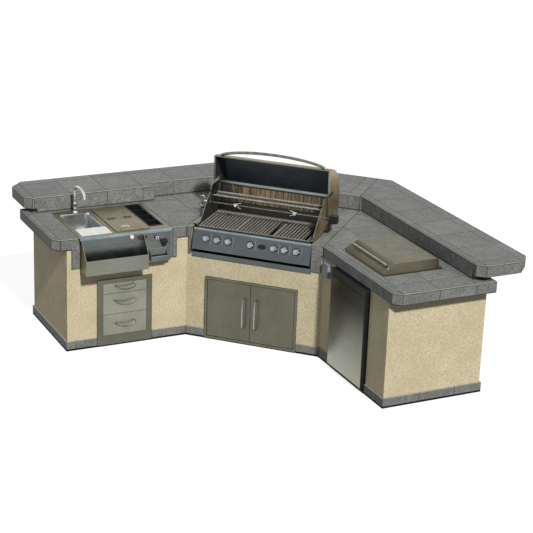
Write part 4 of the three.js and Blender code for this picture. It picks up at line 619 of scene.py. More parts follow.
@dataclass(frozen=True)
class PaintedReflectionSteel(Steel):
    """Brushed steel with a painted reflection of the ground: darker at the top of a tall panel
    than at its foot.

    Attributes:
        foot: height where the lighter shade is reached.
        head: height where the darker shade is reached.
    """

    foot: float = 0.15
    head: float = 0.7

    def coloured(self, wiring: Wiring, vector: Socket, streaks: Socket) -> Socket:
        """Colours the steel by its height, as a painted reflection, and a little by its streaks.

        Args:
            wiring: the material's wiring.
            vector: its object coordinates.
            streaks: how bright each streak is.

        Returns:
            The colour.
        """
        height = wiring.plus(wiring.height(vector), wiring.noise(vector, 3.0, detail=2.0), 0.1)
        share = wiring.ramp(height, self.foot, self.head)
        shade = wiring.mix(share, rgb(self.light), rgb(self.dark))
        return wiring.mix(1.0, shade, wiring.ramp(streaks, 0.36, 0.64, 0.92, 1.06), "MULTIPLY")


@dataclass(frozen=True)
class Moulded(Finish):
    """Plastic, enamel or rubber with mottling, a little relief and a changing gloss.

    Attributes:
        scale: how fine the mottling is.
        metal: metalness.
        relief: strength of the relief.
        depth: depth of the relief.
        coat: weight of a clear coat.
        shine: strength of the plain reflection.
    """

    scale: float = 30.0
    metal: float = 0.0
    relief: float = 0.1
    depth: float = 0.0006
    coat: float = 0.0
    shine: float = 0.5

    def fill(self, wiring: Wiring, surface: ShaderNode, vector: Socket) -> None:
        """Wires mottling, gloss and relief.

        Args:
            wiring: the material's wiring.
            surface: its shader.
            vector: its object coordinates.
        """
        mottle = wiring.noise(vector, self.scale, detail=4.0)
        wiring.set(surface, "Base Color", self.colour(wiring, mottle, 0.3, 0.7))
        wiring.set(surface, "Metallic", self.metal)
        wiring.set(surface, "Coat Weight", self.coat)
        wiring.set(surface, "Specular IOR Level", self.shine)
        wiring.set(surface, "Roughness", self.gloss(wiring, mottle, 0.05, 0.05))
        pores = wiring.noise(vector, self.scale * 12, detail=2.0)
        self.bump(wiring, surface, pores, self.relief, self.depth)


@dataclass(frozen=True)
class Plated(Moulded):
    """Polished or plated metal, with hardly any relief."""

    scale: float = 26.0
    metal: float = 1.0
    relief: float = 0.04
    depth: float = 0.0004


@dataclass(frozen=True)
class Iron(Moulded):
    """Cast iron and scorched sheet, with a coarse relief."""

    scale: float = 60.0
    metal: float = 0.2
    relief: float = 0.4
    depth: float = 0.001


@dataclass(frozen=True)
class Ribbed(Finish):
    """Ceramic burner face with upright stripes of soot, buff clay and wire."""

    def fill(self, wiring: Wiring, surface: ShaderNode, vector: Socket) -> None:
        """Wires upright stripes from noise stretched along Z, and fine pores.

        Args:
            wiring: the material's wiring.
            surface: its shader.
            vector: its object coordinates.
        """
        wide = wiring.noise(wiring.stretched(vector, (1.0, 0.2, 0.06)), 55.0, rough=0.6)
        narrow = wiring.noise(wiring.stretched(vector, (1.0, 0.2, 0.04)), 190.0, 2.0, rough=0.6)
        both = wiring.plus(wiring.math("MULTIPLY", wide, 0.6), narrow, 0.4)
        wiring.set(surface, "Base Color", self.colour(wiring, both, 0.4, 0.6))
        wiring.set(surface, "Roughness", self.rough)
        pores = wiring.noise(vector, 900.0, detail=2.0)
        self.bump(wiring, surface, pores, strength=0.4, depth=0.001)


class Look(Enum):
    """The finishes of the island."""

    STUCCO = Stucco("stucco", "cfc3a2", "e0d5b6", 0.94)
    TILE = Tile("tile", "797b79", "929493", 0.67)
    GROUT = Grout("tile", "40423f", "555653", 0.95)
    # Pale finish of the line along the tiles' top edges and on one kick's ledge: a painted
    # highlight.
    PALE_GROUT = Grout("tile", "97908a", "aca59e", 0.95)
    # Near-black finish of the strip at the kick's floor edge: a painted contact shadow.
    FOOT = Moulded("tile", "0b0b0b", "171615", 0.8, relief=0.3, depth=0.001, shine=0.1)
    STEEL = Steel("steel", "5f5f53", "717063", 0.32)
    STEEL_UP = Steel("steel", "5f5e50", "6f6e60", 0.36, Brushing.UPRIGHT)
    DRAWER_STEEL = Steel("steel", "818276", "9c9d90", 0.34, Brushing.UPRIGHT)
    LID_STEEL = Steel("steel", "7b745f", "8f8871", 0.38)
    COVER_STEEL = Steel("steel", "625e4e", "74705f", 0.38)
    # Painted highlight: the station's rolled nose is lighter and bluer on its upper, front-facing
    # faces.
    NOSE_STEEL = Steel("steel", "66727b", "96a5ae", 0.2)
    APRON_STEEL = Steel("steel", "5d6261", "757977", 0.3)
    RAIL_STEEL = Steel("steel", "797a6f", "8f9085", 0.34)
    WARM_STEEL = Steel("steel", "7d6a4f", "988263", 0.4)
    SINK_STEEL = Steel("steel", "a9adad", "c6caca", 0.36)
    PANEL_STEEL = Steel("steel", "50585a", "636b6b", 0.34)
    # Painted highlight: the control panel's rounded rail is lighter and bluer than the panel on
    # its upper, front-facing faces.
    BULLNOSE_STEEL = Steel("steel", "79858a", "98a3a6", 0.24)
    HOOD_STEEL = Steel("steel", "6c685a", "817c6b", 0.34, Brushing.ROUND)
    SIDE_STEEL = Steel("steel", "a69470", "bfad88", 0.34, Brushing.ROUND)
    STRIP_STEEL = Steel("steel", "7d8080", "989b9a", 0.3)
    # The fridge door's fade from dark at the top to light at the foot is a painted reflection of
    # the ground.
    FRIDGE_STEEL = PaintedReflectionSteel("steel", "33342f", "949587", 0.32, Brushing.UPRIGHT)
    SHADED_STEEL = Steel("steel", "3b3c35", "4e4f46", 0.4)
    HANDLE_STEEL = Plated("steel", "66655d", "868479", 0.26)
    GRIP_STEEL = Plated("steel", "8d8f8c", "b4b6b2", 0.2)
    RACK_WIRE = Plated("chrome", "8f8f89", "b5b5af", 0.3, 30.0, 0.3, 0.05)
    BRIGHT = Plated("chrome", "b6b8ba", "d6d8d9", 0.1, 20.0, relief=0.02, depth=0.0003)
    # Blue of the knobs' middles: a painted reflection of the sky in the chrome.
    CAP_BLUE = Plated("chrome", "7fa6c4", "a9cbe2", 0.12, 30.0, 0.7, 0.02, 0.0003)
    LINER = Iron("cast_iron", "777d84", "888f97", 0.4, 9.0, 0.1, 0.15)
    # Painted shade: the hood liner's end plates are near black, though the key light reaches them.
    LINER_END = Iron("cast_iron", "27292c", "33363a", 0.6, 9.0, 0.1, 0.15, shine=0.2)
    GRATE = Iron("cast_iron", "7f7e78", "a3a29a", 0.42)
    SOOT = Iron("cast_iron", "1f1d1a", "37332d", 0.6, 18.0)
    IRON = Iron("cast_iron", "45433f", "6b6964", 0.45, metal=0.3, relief=0.5)
    CLAY = Ribbed("cast_iron", "332d24", "8d7d5e", 0.85)
    BLACK = Moulded("black_plastic", "0d0e10", "1b1c1f", 0.42, 80.0, relief=0.25, shine=0.25)
    # Black rubber of the fridge door's gasket, also used for the painted contact shadow strips at
    # the floor.
    GASKET = Moulded("black_plastic", "101010", "1d1c1b", 0.6, relief=0.2, shine=0.2)
    ENAMEL = Moulded("black_plastic", "1a0d0e", "2b1415", 0.3, 14.0, relief=0.03, depth=0.0003,
                     coat=0.2)
    BRONZE = Moulded("steel", "4a3822", "6b5230", 0.35, 60.0, metal=1.0)
    WHITE = Moulded("white_plastic", "d6d9d8", "ecedea", relief=0.15)
    PALE_MARK = Moulded("steel", "97958c", "b3b0a6", scale=60.0)
    GREY = Moulded("grey_plastic", "7c8490", "98a0ab", scale=50.0, relief=0.15)

    @property
    def material(self) -> bpy.types.Material:
        """The finish's Blender material."""
        return self.value.material("island_" + self.name.lower())


@dataclass
class Surface:
    """Points and faces of one or more surfaces.

    Attributes:
        points: one point to a row.
        faces: the point numbers of each face.
        looks: which of the piece's finishes each face has.
    """

    points: np.ndarray
    faces: list[list[int]]
    looks: list[int]

    @classmethod
    def grid(cls, points: np.ndarray, wrap: bool = True, looks: Sequence[int] | int = 0,
             closed: bool = True) -> "Surface":
        """Makes a surface over two parameters.

        Args:
            points: rows of stations along the surface, columns round it, three coordinates each.
            wrap: the columns close into a ring.
            looks: a finish number for each band of rows, or one for all.
            closed: the first and the last row are closed by a face.

        Returns:
            The surface.
        """
        rows, columns = points.shape[:2]
        index = np.arange(rows * columns).reshape(rows, columns)
        here = index if wrap else index[:, :-1]
        beside = np.roll(index, -1, axis=1) if wrap else index[:, 1:]
        quads = np.stack([here[:-1], beside[:-1], beside[1:], here[1:]], axis=-1)
        bands = np.broadcast_to(np.asarray(looks), rows - 1)
        kinds = np.repeat(bands, quads.shape[1]).tolist()
        faces = quads.reshape(-1, 4).tolist()
        if closed:
            faces += [index[0][::-1].tolist(), index[-1].tolist()]
            kinds += [int(bands[0]), int(bands[-1])]
        return cls(points.reshape(-1, 3), faces, kinds)

    def __add__(self, other: "Surface") -> "Surface":
        """Puts two surfaces into one piece."""
        start = len(self.points)
        moved = [[number + start for number in face] for face in other.faces]
        points = np.vstack([self.points, other.points])
        return Surface(points, self.faces + moved, self.looks + other.looks)

    def moved(self, matrix: Matrix) -> "Surface":
        """Places the surface by a matrix."""
        whole = np.array(matrix)
        return Surface(self.points @ whole[:3, :3].T + whole[:3, 3], self.faces, self.looks)

    def shifted(self, x: float, y: float, z: float) -> "Surface":
        """Moves the surface without turning it."""
        return self.moved(Matrix.Translation((x, y, z)))

    def scaled(self, x: float, y: float, z: float) -> "Surface":
        """Stretches the surface along its axes."""
        return Surface(self.points * np.array([x, y, z]), self.faces, self.looks)

    def piece(self, name: str, body: str, looks: Sequence[Look], replaced: Sequence[str] = (),
              smooth: float = 38.0) -> bpy.types.Object:
        """Turns the surface into a declared object.

        Args:
            name: the object's name.
            body: the CAD body that it rides on.
            looks: its finishes, in the order of the finish numbers.
            replaced: CAD nodes that it stands for.
            smooth: sharpest bend in degrees that is shaded smooth.

        Returns:
            The new object.
        """
        mesh = bpy.data.meshes.new(name)
        mesh.from_pydata(self.points.tolist(), [], self.faces)
        mesh.polygons.foreach_set("material_index", self.looks)
        work = opened(mesh)
        bmesh.ops.remove_doubles(work, verts=work.verts, dist=0.000002)
        bmesh.ops.recalc_face_normals(work, faces=work.faces)
        finished(work, mesh)
        shade(mesh, smooth)
        return declared(name, mesh, body, looks, replaced)


def joined(surfaces: Iterable[Surface]) -> Surface:
    """Puts several surfaces, in their order, into one."""
    return reduce(add, surfaces)


def opened(mesh: bpy.types.Mesh) -> bmesh.types.BMesh:
    """Opens a mesh for editing.

    Args:
        mesh: the mesh.

    Returns:
        Its editable copy.
    """
    work = bmesh.new()
    work.from_mesh(mesh)
    return work


def finished(work: bmesh.types.BMesh, mesh: bpy.types.Mesh) -> None:
    """Writes an editable copy into a mesh and closes it."""
    work.to_mesh(mesh)
    work.free()


def shade(mesh: bpy.types.Mesh, angle: float) -> None:
    """Shades a mesh smooth up to an angle in degrees."""
    mesh.polygons.foreach_set("use_smooth", [True] * len(mesh.polygons))
    mesh.set_sharp_from_angle(angle=math.radians(angle))


def linked(name: str, data: bpy.types.ID) -> bpy.types.Object:
    """Makes an object and puts it into the scene.

    Args:
        name: the object's name.
        data: its mesh, lamp or camera.

    Returns:
        The new object.
    """
    made = bpy.data.objects.new(name, data)
    bpy.context.scene.collection.objects.link(made)
    return made


def declared(name: str, mesh: bpy.types.Mesh, body: str, looks: Sequence[Look],
             replaced: Sequence[str] = ()) -> bpy.types.Object:
    """Args:
        name: the object's name.
        mesh: the mesh.
        body: the CAD body that it rides on.
        looks: its finishes, in slot order.
        replaced: CAD nodes that it stands for.

    Returns:
        The new object.
    """
    made = linked(name, mesh)
    for look in looks:
        mesh.materials.append(look.material)
    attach(made, body)
    if replaced:
        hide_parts(*replaced)
    log.info("%s: %d faces on %s", name, len(mesh.polygons), body)
    return made


def circle(radius: float, sides: int = 24) -> np.ndarray:
    """Points of a circle: radius times the cosine and sine of evenly spaced angles."""
    angle = np.linspace(0.0, 2 * np.pi, sides, endpoint=False)
    return radius * np.stack([np.cos(angle), np.sin(angle)], axis=1)


def turned(profile: Sequence[tuple[float, float]], sides: int = 48,
           looks: Sequence[int] | int = 0, flutes: int = 0, cut: float = 0.0) -> Surface:
    """Turns a profile about Z.

    Each point is its radius times the cosine and sine of the angle, at its height. Flutes take a
    share off the radius that follows the squared cosine of half their count times the angle.

    Args:
        profile: radius and height of each station.
        sides: points round.
        looks: a finish number for each band, or one for all.
        flutes: number of flutes round the piece.
        cut: depth of the flutes as a share of the radius.

    Returns:
        The surface.
    """
    radius, height = np.array(profile).T
    angle = np.linspace(0.0, 2 * np.pi, sides, endpoint=False)
    wave = 1.0 - cut * np.cos(flutes * angle / 2) ** 2
    around = np.stack([np.cos(angle) * wave, np.sin(angle) * wave], axis=1)
    flat = radius[:, None, None] * around[None]
    tall = np.broadcast_to(height[:, None, None], (len(height), sides, 1))
    return Surface.grid(np.concatenate([flat, tall], axis=2), looks=looks)


def swept(path: np.ndarray, side: Triple, ring: np.ndarray, look: int = 0,
          widths: np.ndarray | None = None) -> Surface:
    """Carries a ring of points along a flat path.

    Each point is the path's point plus the ring's first coordinate times the side direction plus
    its second times the direction square to the side and the path, both times the width there.

    Args:
        path: points of the path, one to a row.
        side: the direction square to the path's plane.
        ring: the ring's points, two coordinates to a row.
        look: its finish number.
        widths: a scale for the ring at each point of the path.

    Returns:
        The closed tube.
    """
    along = np.gradient(path, axis=0)
    along /= np.linalg.norm(along, axis=1, keepdims=True)
    across = np.asarray(side, float)
    third = np.cross(along, across)
    scale = np.ones(len(path)) if widths is None else widths
    offset = ring[None, :, :1] * across + ring[None, :, 1:] * third[:, None, :]
    return Surface.grid(path[:, None, :] + scale[:, None, None] * offset, looks=look)


def rounded_outline(half_x: float, half_y: float, corner: float, steps: int = 6) -> np.ndarray:
    """Points of a rectangle whose corners are quarter circles.

    Each quarter circle runs about a centre that is set in from the corner by its radius.

    Args:
        half_x: half the rectangle's length.
        half_y: half its width.
        corner: radius of its corners.
        steps: points to a corner.

    Returns:
        The points, two coordinates to a row.
    """
    angle = np.linspace(0.0, np.pi / 2, steps)[None] + np.arange(4)[:, None] * np.pi / 2
    signs = np.array([[1, 1], [-1, 1], [-1, -1], [1, -1]], float)
    centres = signs * np.array([half_x - corner, half_y - corner])
    points = centres[:, None] + corner * np.stack([np.cos(angle), np.sin(angle)], axis=2)
    return points.reshape(-1, 2)


def plate(half_x: float, half_y: float, corner: float, thickness: float, edge: float,
          look: int = 0) -> Surface:
    """A flat plate with rounded corners and a rounded upper edge.

    Its outline is drawn in by the edge radius times one less the cosine while it rises by the
    radius times the sine of an angle from nothing to a quarter turn.

    Args:
        half_x: half its length.
        half_y: half its width.
        corner: radius of its corners.
        thickness: its height.
        edge: radius of its upper edge.
        look: its finish number.

    Returns:
        The closed surface.
    """
    angle = np.linspace(0.0, np.pi / 2, 4)
    inset = np.concatenate([[0.0], edge * (1 - np.cos(angle))])
    height = np.concatenate([[0.0], thickness - edge + edge * np.sin(angle)])
    rows = []
    for d, z in zip(inset, height):
        outline = rounded_outline(half_x - d, half_y - d, max(corner - d, 0.0001))
        rows.append(np.column_stack([outline, np.full(len(outline), z)]))
    return Surface.grid(np.array(rows), looks=look)


def line(start: Triple, end: Triple, count: int = 8) -> np.ndarray:
    """Points evenly spaced from start to end."""
    return np.linspace(np.array(start), np.array(end), count)


@dataclass(frozen=True)
class Zone:
    """Faces of a CAD node that have a finish of their own.

    Attributes:
        look: their finish.
        place: the axes that the box is given in.
        low: lowest corner of the box that their middles lie in.
        high: highest corner of that box.
        facing: direction that they look in, or None for any.
        spread: least cosine between that direction and the face.
    """

    look: Look
    place: Place
    low: Triple
    high: Triple
    facing: Triple | None = None
    spread: float = 0.9

    def mask(self, middles: np.ndarray, normals: np.ndarray) -> np.ndarray:
        """Marks the faces that the zone takes.

        Args:
            middles: the middle of each face.
            normals: the normal of each face.

        Returns:
            True for each face inside the zone.
        """
        local = self.place.value.local(middles)
        inside = ((local > np.array(self.low)) & (local < np.array(self.high))).all(axis=1)
        if self.facing is None:
            return inside
        direction = np.array(self.facing) / np.linalg.norm(self.facing)
        return inside & (self.place.value.local_directions(normals) @ direction > self.spread)


def merged(node: str) -> bmesh.types.BMesh:
    """Copies a CAD node, joins its loose triangles and makes its flat regions single faces.

    Args:
        node: name of the CAD node.

    Returns:
        The copy.
    """
    work = opened(frame["nodes"][node].data)
    bmesh.ops.remove_doubles(work, verts=work.verts, dist=0.00002)
    bmesh.ops.dissolve_limit(work, angle_limit=math.radians(0.6), verts=work.verts,
                             edges=work.edges)
    return work


@dataclass(frozen=True)
class DressedNode:
    """A CAD node whose shape is right, copied to get edge radii and finishes.

    Attributes:
        node: its name.
        look: its main finish.
        zones: faces with another finish; a later zone wins.
        radius: edge radius.
        segments: steps round each edge.
        angle: sharpest bend in degrees that gets no radius.
    """

    node: str
    look: Look
    zones: tuple[Zone, ...] = ()
    radius: float = 0.0011
    segments: int = 2
    angle: float = 30.0

    def build(self) -> None:
        """Copies the node, dresses its faces and rounds its edges."""
        name = self.node + "_dressed"
        mesh = bpy.data.meshes.new(name)
        finished(merged(self.node), mesh)
        shade(mesh, self.angle + 6.0)
        middles, normals = read(mesh.polygons, "center"), read(mesh.polygons, "normal")
        kinds = np.zeros(len(middles), dtype=np.int32)
        looks = [self.look]
        for zone in self.zones:
            if zone.look not in looks:
                looks.append(zone.look)
            kinds[zone.mask(middles, normals)] = looks.index(zone.look)
        mesh.polygons.foreach_set("material_index", kinds)
        made = declared(name, mesh, frame["nodes"][self.node]["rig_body"], looks, (self.node,))
        bevel = made.modifiers.new("edges", "BEVEL")
        bevel.width = self.radius
        bevel.segments = self.segments
        bevel.limit_method = "ANGLE"
        bevel.angle_limit = math.radians(self.angle)
        bevel.use_clamp_overlap = True
        bevel.harden_normals = True


def sunk(mesh: bpy.types.Mesh, depth: float) -> None:
    """Moves every face of a closed mesh inwards by the same depth.

    Each point moves by the shortest step whose part along every neighbouring face's normal is the
    depth, found by least squares from the sum of the normals' outer products.

    Args:
        mesh: the mesh.
        depth: how far each face moves.
    """
    points = read(mesh.vertices, "co")
    corner_point = read(mesh.loops, "vertex_index", 1, np.int64)
    corners = read(mesh.polygons, "loop_total", 1, np.int64)
    corner_normal = np.repeat(read(mesh.polygons, "normal"), corners, axis=0)
    outer, total = np.zeros((len(points), 3, 3)), np.zeros((len(points), 3))
    np.add.at(outer, corner_point, corner_normal[:, :, None] * corner_normal[:, None, :])
    np.add.at(total, corner_point, corner_normal)
    step = np.einsum("nij,nj->ni", np.linalg.pinv(outer, rcond=1e-3), total)
    mesh.vertices.foreach_set("co", (points - depth * step).ravel())
    mesh.update()


class Laid(IntEnum):
    """The finishes of a tiled run, by their slot's number."""

    TILE = 0
    GROUT = 1
    # Painted highlight along the top edges.
    PALE = 2
    # Painted contact shadow at the floor.
    FOOT = 3

    @property
    def look(self) -> Look:
        """The finish in that slot."""
        return (Look.TILE, Look.GROUT, Look.PALE_GROUT, Look.FOOT)[self]


@dataclass(frozen=True)
class TiledRun:
    """Tiles laid over one solid of a counter, bar or kick.

    Attributes:
        node: the CAD node that the tiles cover.
        place: the section whose axes the joints follow.
        start: where the joints start along and across the section.
        trim: distance of the edge tiles' joint from the section's axes, or None.
        foot: height of the black strip at the floor, a painted contact shadow.
        highlight_top: the level faces get the pale finish, a painted highlight on the ledge.
        pitch: tile length.
        joint: half the width of a joint.
        depth: how far the joints lie below the tiles.
        clearance: how far the tiles stay inside the solid.
        smallest: area of the smallest face that is laid as a tile.
        lip: how far below the top an edge still counts as its edge.
        seam_width: how near to a mitre's seam no painted highlight line is drawn.
    """

    node: str
    place: Place
    start: tuple[float, float] = (0.0, 0.0)
    trim: float | None = None
    foot: float = 0.0
    highlight_top: bool = False
    pitch: float = 0.305
    joint: float = 0.0026
    depth: float = 0.0011
    clearance: float = 0.00003
    smallest: float = 0.0003
    lip: float = 0.004
    seam_width: float = 0.003

    def _cut(self, work: bmesh.types.BMesh, faces: list[bmesh.types.BMFace], point: Triple,
             normal: Triple) -> None:
        """Cuts some faces by a plane.

        Args:
            work: the run's editable mesh.
            faces: the faces.
            point: a point of the plane in the section's axes.
            normal: the plane's normal in the section's axes.
        """
        matrix = self.place.value.matrix
        edges = {edge for face in faces for edge in face.edges}
        verts = {vert for face in faces for vert in face.verts}
        bmesh.ops.bisect_plane(
            work, geom=list(verts) + list(edges) + list(faces), plane_co=matrix @ Vector(point),
            plane_no=(matrix.to_3x3() @ Vector(normal)).normalized(), dist=0.0004)

    def _joints(self, work: bmesh.types.BMesh) -> None:
        """Cuts the joints along and across the section, on the level and the upright faces."""
        low, high = self.place.value.extent(self.node)
        run = (self.place.value.matrix.to_3x3() @ Vector((1, 0, 0))).normalized()
        for axis, normal in ((0, (1, 0, 0)), (1, (0, 1, 0))):
            skipped = math.ceil((low[axis] - self.start[axis]) / self.pitch)
            first = self.start[axis] + skipped * self.pitch
            for at in np.arange(first, high[axis], self.pitch):
                point = (float(at), 0.0, 0.0) if axis == 0 else (0.0, float(at), 0.0)
                level = [face for face in work.faces if abs(face.normal.z) > LEVEL]
                self._cut(work, level, point, normal)
                upright = [face for face in work.faces if abs(face.normal.z) < UPRIGHT
                           and (abs(face.normal.dot(run)) < 0.9) == (axis == 0)]
                self._cut(work, upright, point, normal)
        if self.trim is not None:
            top = [face for face in work.faces if face.normal.z > LEVEL]
            self._cut(work, top, (0.0, self.trim, 0.0), (0, 1, 0))
        if self.foot:
            upright = [face for face in work.faces if abs(face.normal.z) < UPRIGHT]
            self._cut(work, upright, (0.0, 0.0, self.foot), (0, 0, 1))

    def _has_highlight_line(self, edge: bmesh.types.BMEdge, top: float) -> bool:
        """Tells whether the pale line, a painted highlight, follows an edge.

        Args:
            edge: an edge of the run.
            top: the run's greatest height.

        Returns:
            True for an edge of the top that joins a level face to an upright one, but not at the
            seam where two runs meet.
        """
        sides = sorted((face.normal for face in edge.link_faces), key=lambda normal: normal.z)
        if len(sides) != 2 or min(vert.co.z for vert in edge.verts) <= top - self.lip:
            return False
        from_middle = abs(edge.verts[0].co.x - SHIFT.x)
        seam = abs(from_middle - SEAM) < self.seam_width and abs(sides[0].x) > 0.98
        return not seam and sides[0].z < 0.5 and sides[1].z > 0.9

    def _in_foot(self, face: bmesh.types.BMFace) -> bool:
        """Tells whether a face belongs to the black strip at the floor, a painted contact shadow.
        """
        return bool(self.foot) and face.calc_center_median().z < self.foot

    def _lay(self, work: bmesh.types.BMesh) -> None:
        """Raises the tiles out of their joints, and gives each face its finish and tone."""
        top = max(vert.co.z for vert in work.verts)
        tone = work.faces.layers.float.new("tile_tone")
        line_mark = work.edges.layers.int.new("lip")
        for edge in work.edges:
            edge[line_mark] = int(self._has_highlight_line(edge, top))
        tiles = [face for face in work.faces if face.calc_area() > self.smallest]
        rings = bmesh.ops.inset_individual(work, faces=tiles, thickness=self.joint,
                                           depth=self.depth, use_even_offset=True)["faces"]
        for face in rings:
            # Joint rings along the marked top edges carry the painted highlight line.
            pale = any(edge[line_mark] for edge in face.edges)
            above = Laid.PALE if pale else Laid.GROUT
            # Rings and tiles low at the floor get the painted contact shadow.
            face.material_index = Laid.FOOT if self._in_foot(face) else above
        chance = np.random.default_rng(len(self.node) * 7 + len(tiles))
        for face, value in zip(tiles, chance.random(len(tiles))):
            face[tone] = float(value)
            if self._in_foot(face):
                face.material_index = Laid.FOOT
            # The ledge's level faces get the painted highlight.
            elif self.highlight_top and face.normal.z > 0.9:
                face.material_index = Laid.PALE

    def build(self) -> None:
        """Cuts the joints, sinks the whole by their depth and raises the tiles again."""
        work = merged(self.node)
        self._joints(work)
        name = self.node + "_tiles"
        mesh = bpy.data.meshes.new(name)
        finished(work, mesh)
        sunk(mesh, self.depth + self.clearance)
        work = opened(mesh)
        self._lay(work)
        finished(work, mesh)
        looks = [slot.look for slot in Laid]
        declared(name, mesh, frame["nodes"][self.node]["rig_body"], looks, (self.node,))


@dataclass
class Masonry:
    """The stucco shells and the tiled counter, bar and kick.

    Attributes:
        edge: width of the edge tiles.
        riser: how far back the wings' riser stands.
        middle_riser: how far back the middle riser stands.
        foot: height of the black strip at the floor, a painted contact shadow.
    """

    edge: float = 0.056
    riser: float = 0.685
    middle_riser: float = 0.946
    foot: float = 0.015

    def build(self) -> None:
        """Dresses the shells and lays the tiles."""
        for node in ("base_left", "base_center", "base_right"):
            DressedNode(node, Look.STUCCO, radius=0.003).build()
        counter, bar, middle_bar = self.edge, self.riser + self.edge, self.middle_riser + self.edge
        for node, place, along, trim in (
                ("counter_left", Place.LEFT, -0.12, counter),
                ("counter_center", Place.WHOLE, -0.49, counter),
                ("counter_right", Place.RIGHT, 0.02, counter),
                ("bar_left", Place.LEFT, -0.1, bar),
                ("bar_center", Place.WHOLE, -0.15, middle_bar),
                ("bar_right", Place.RIGHT, 0.1, bar)):
            TiledRun(node, place, (along, trim), trim).build()
        for side, place in (("inner_left", Place.LEFT), ("inner_right", Place.RIGHT),
                            ("outer_left", Place.LEFT), ("outer_right", Place.RIGHT)):
            # Only the left end's kick gets a painted highlight on its ledge.
            TiledRun("kick_" + side, place, foot=self.foot,
                     highlight_top=side == "outer_left").build()


@dataclass
class Badge:
    """A bare oval plate with a raised rim.

    Attributes:
        half_x: half its length.
        half_y: half its height.
        height: how far its middle stands out.
    """

    half_x: float
    half_y: float
    height: float = 0.003

    def surface(self) -> Surface:
        """Turns a shallow dome, groove and rim about Z and stretches it into an oval.

        Returns:
            The badge, its rim in the first finish and its dome in the second.
        """
        profile = [(1.0, 0.0), (1.0, 0.7), (0.975, 0.95), (0.93, 1.0), (0.89, 0.9), (0.87, 0.55),
                   (0.84, 0.5), (0.6, 0.72), (0.3, 0.86), (0.0, 0.9)]
        looks = [0, 0, 0, 0, 0, 1, 1, 1, 1]
        return turned(profile, 56, looks).scaled(self.half_x, self.half_y, self.height)


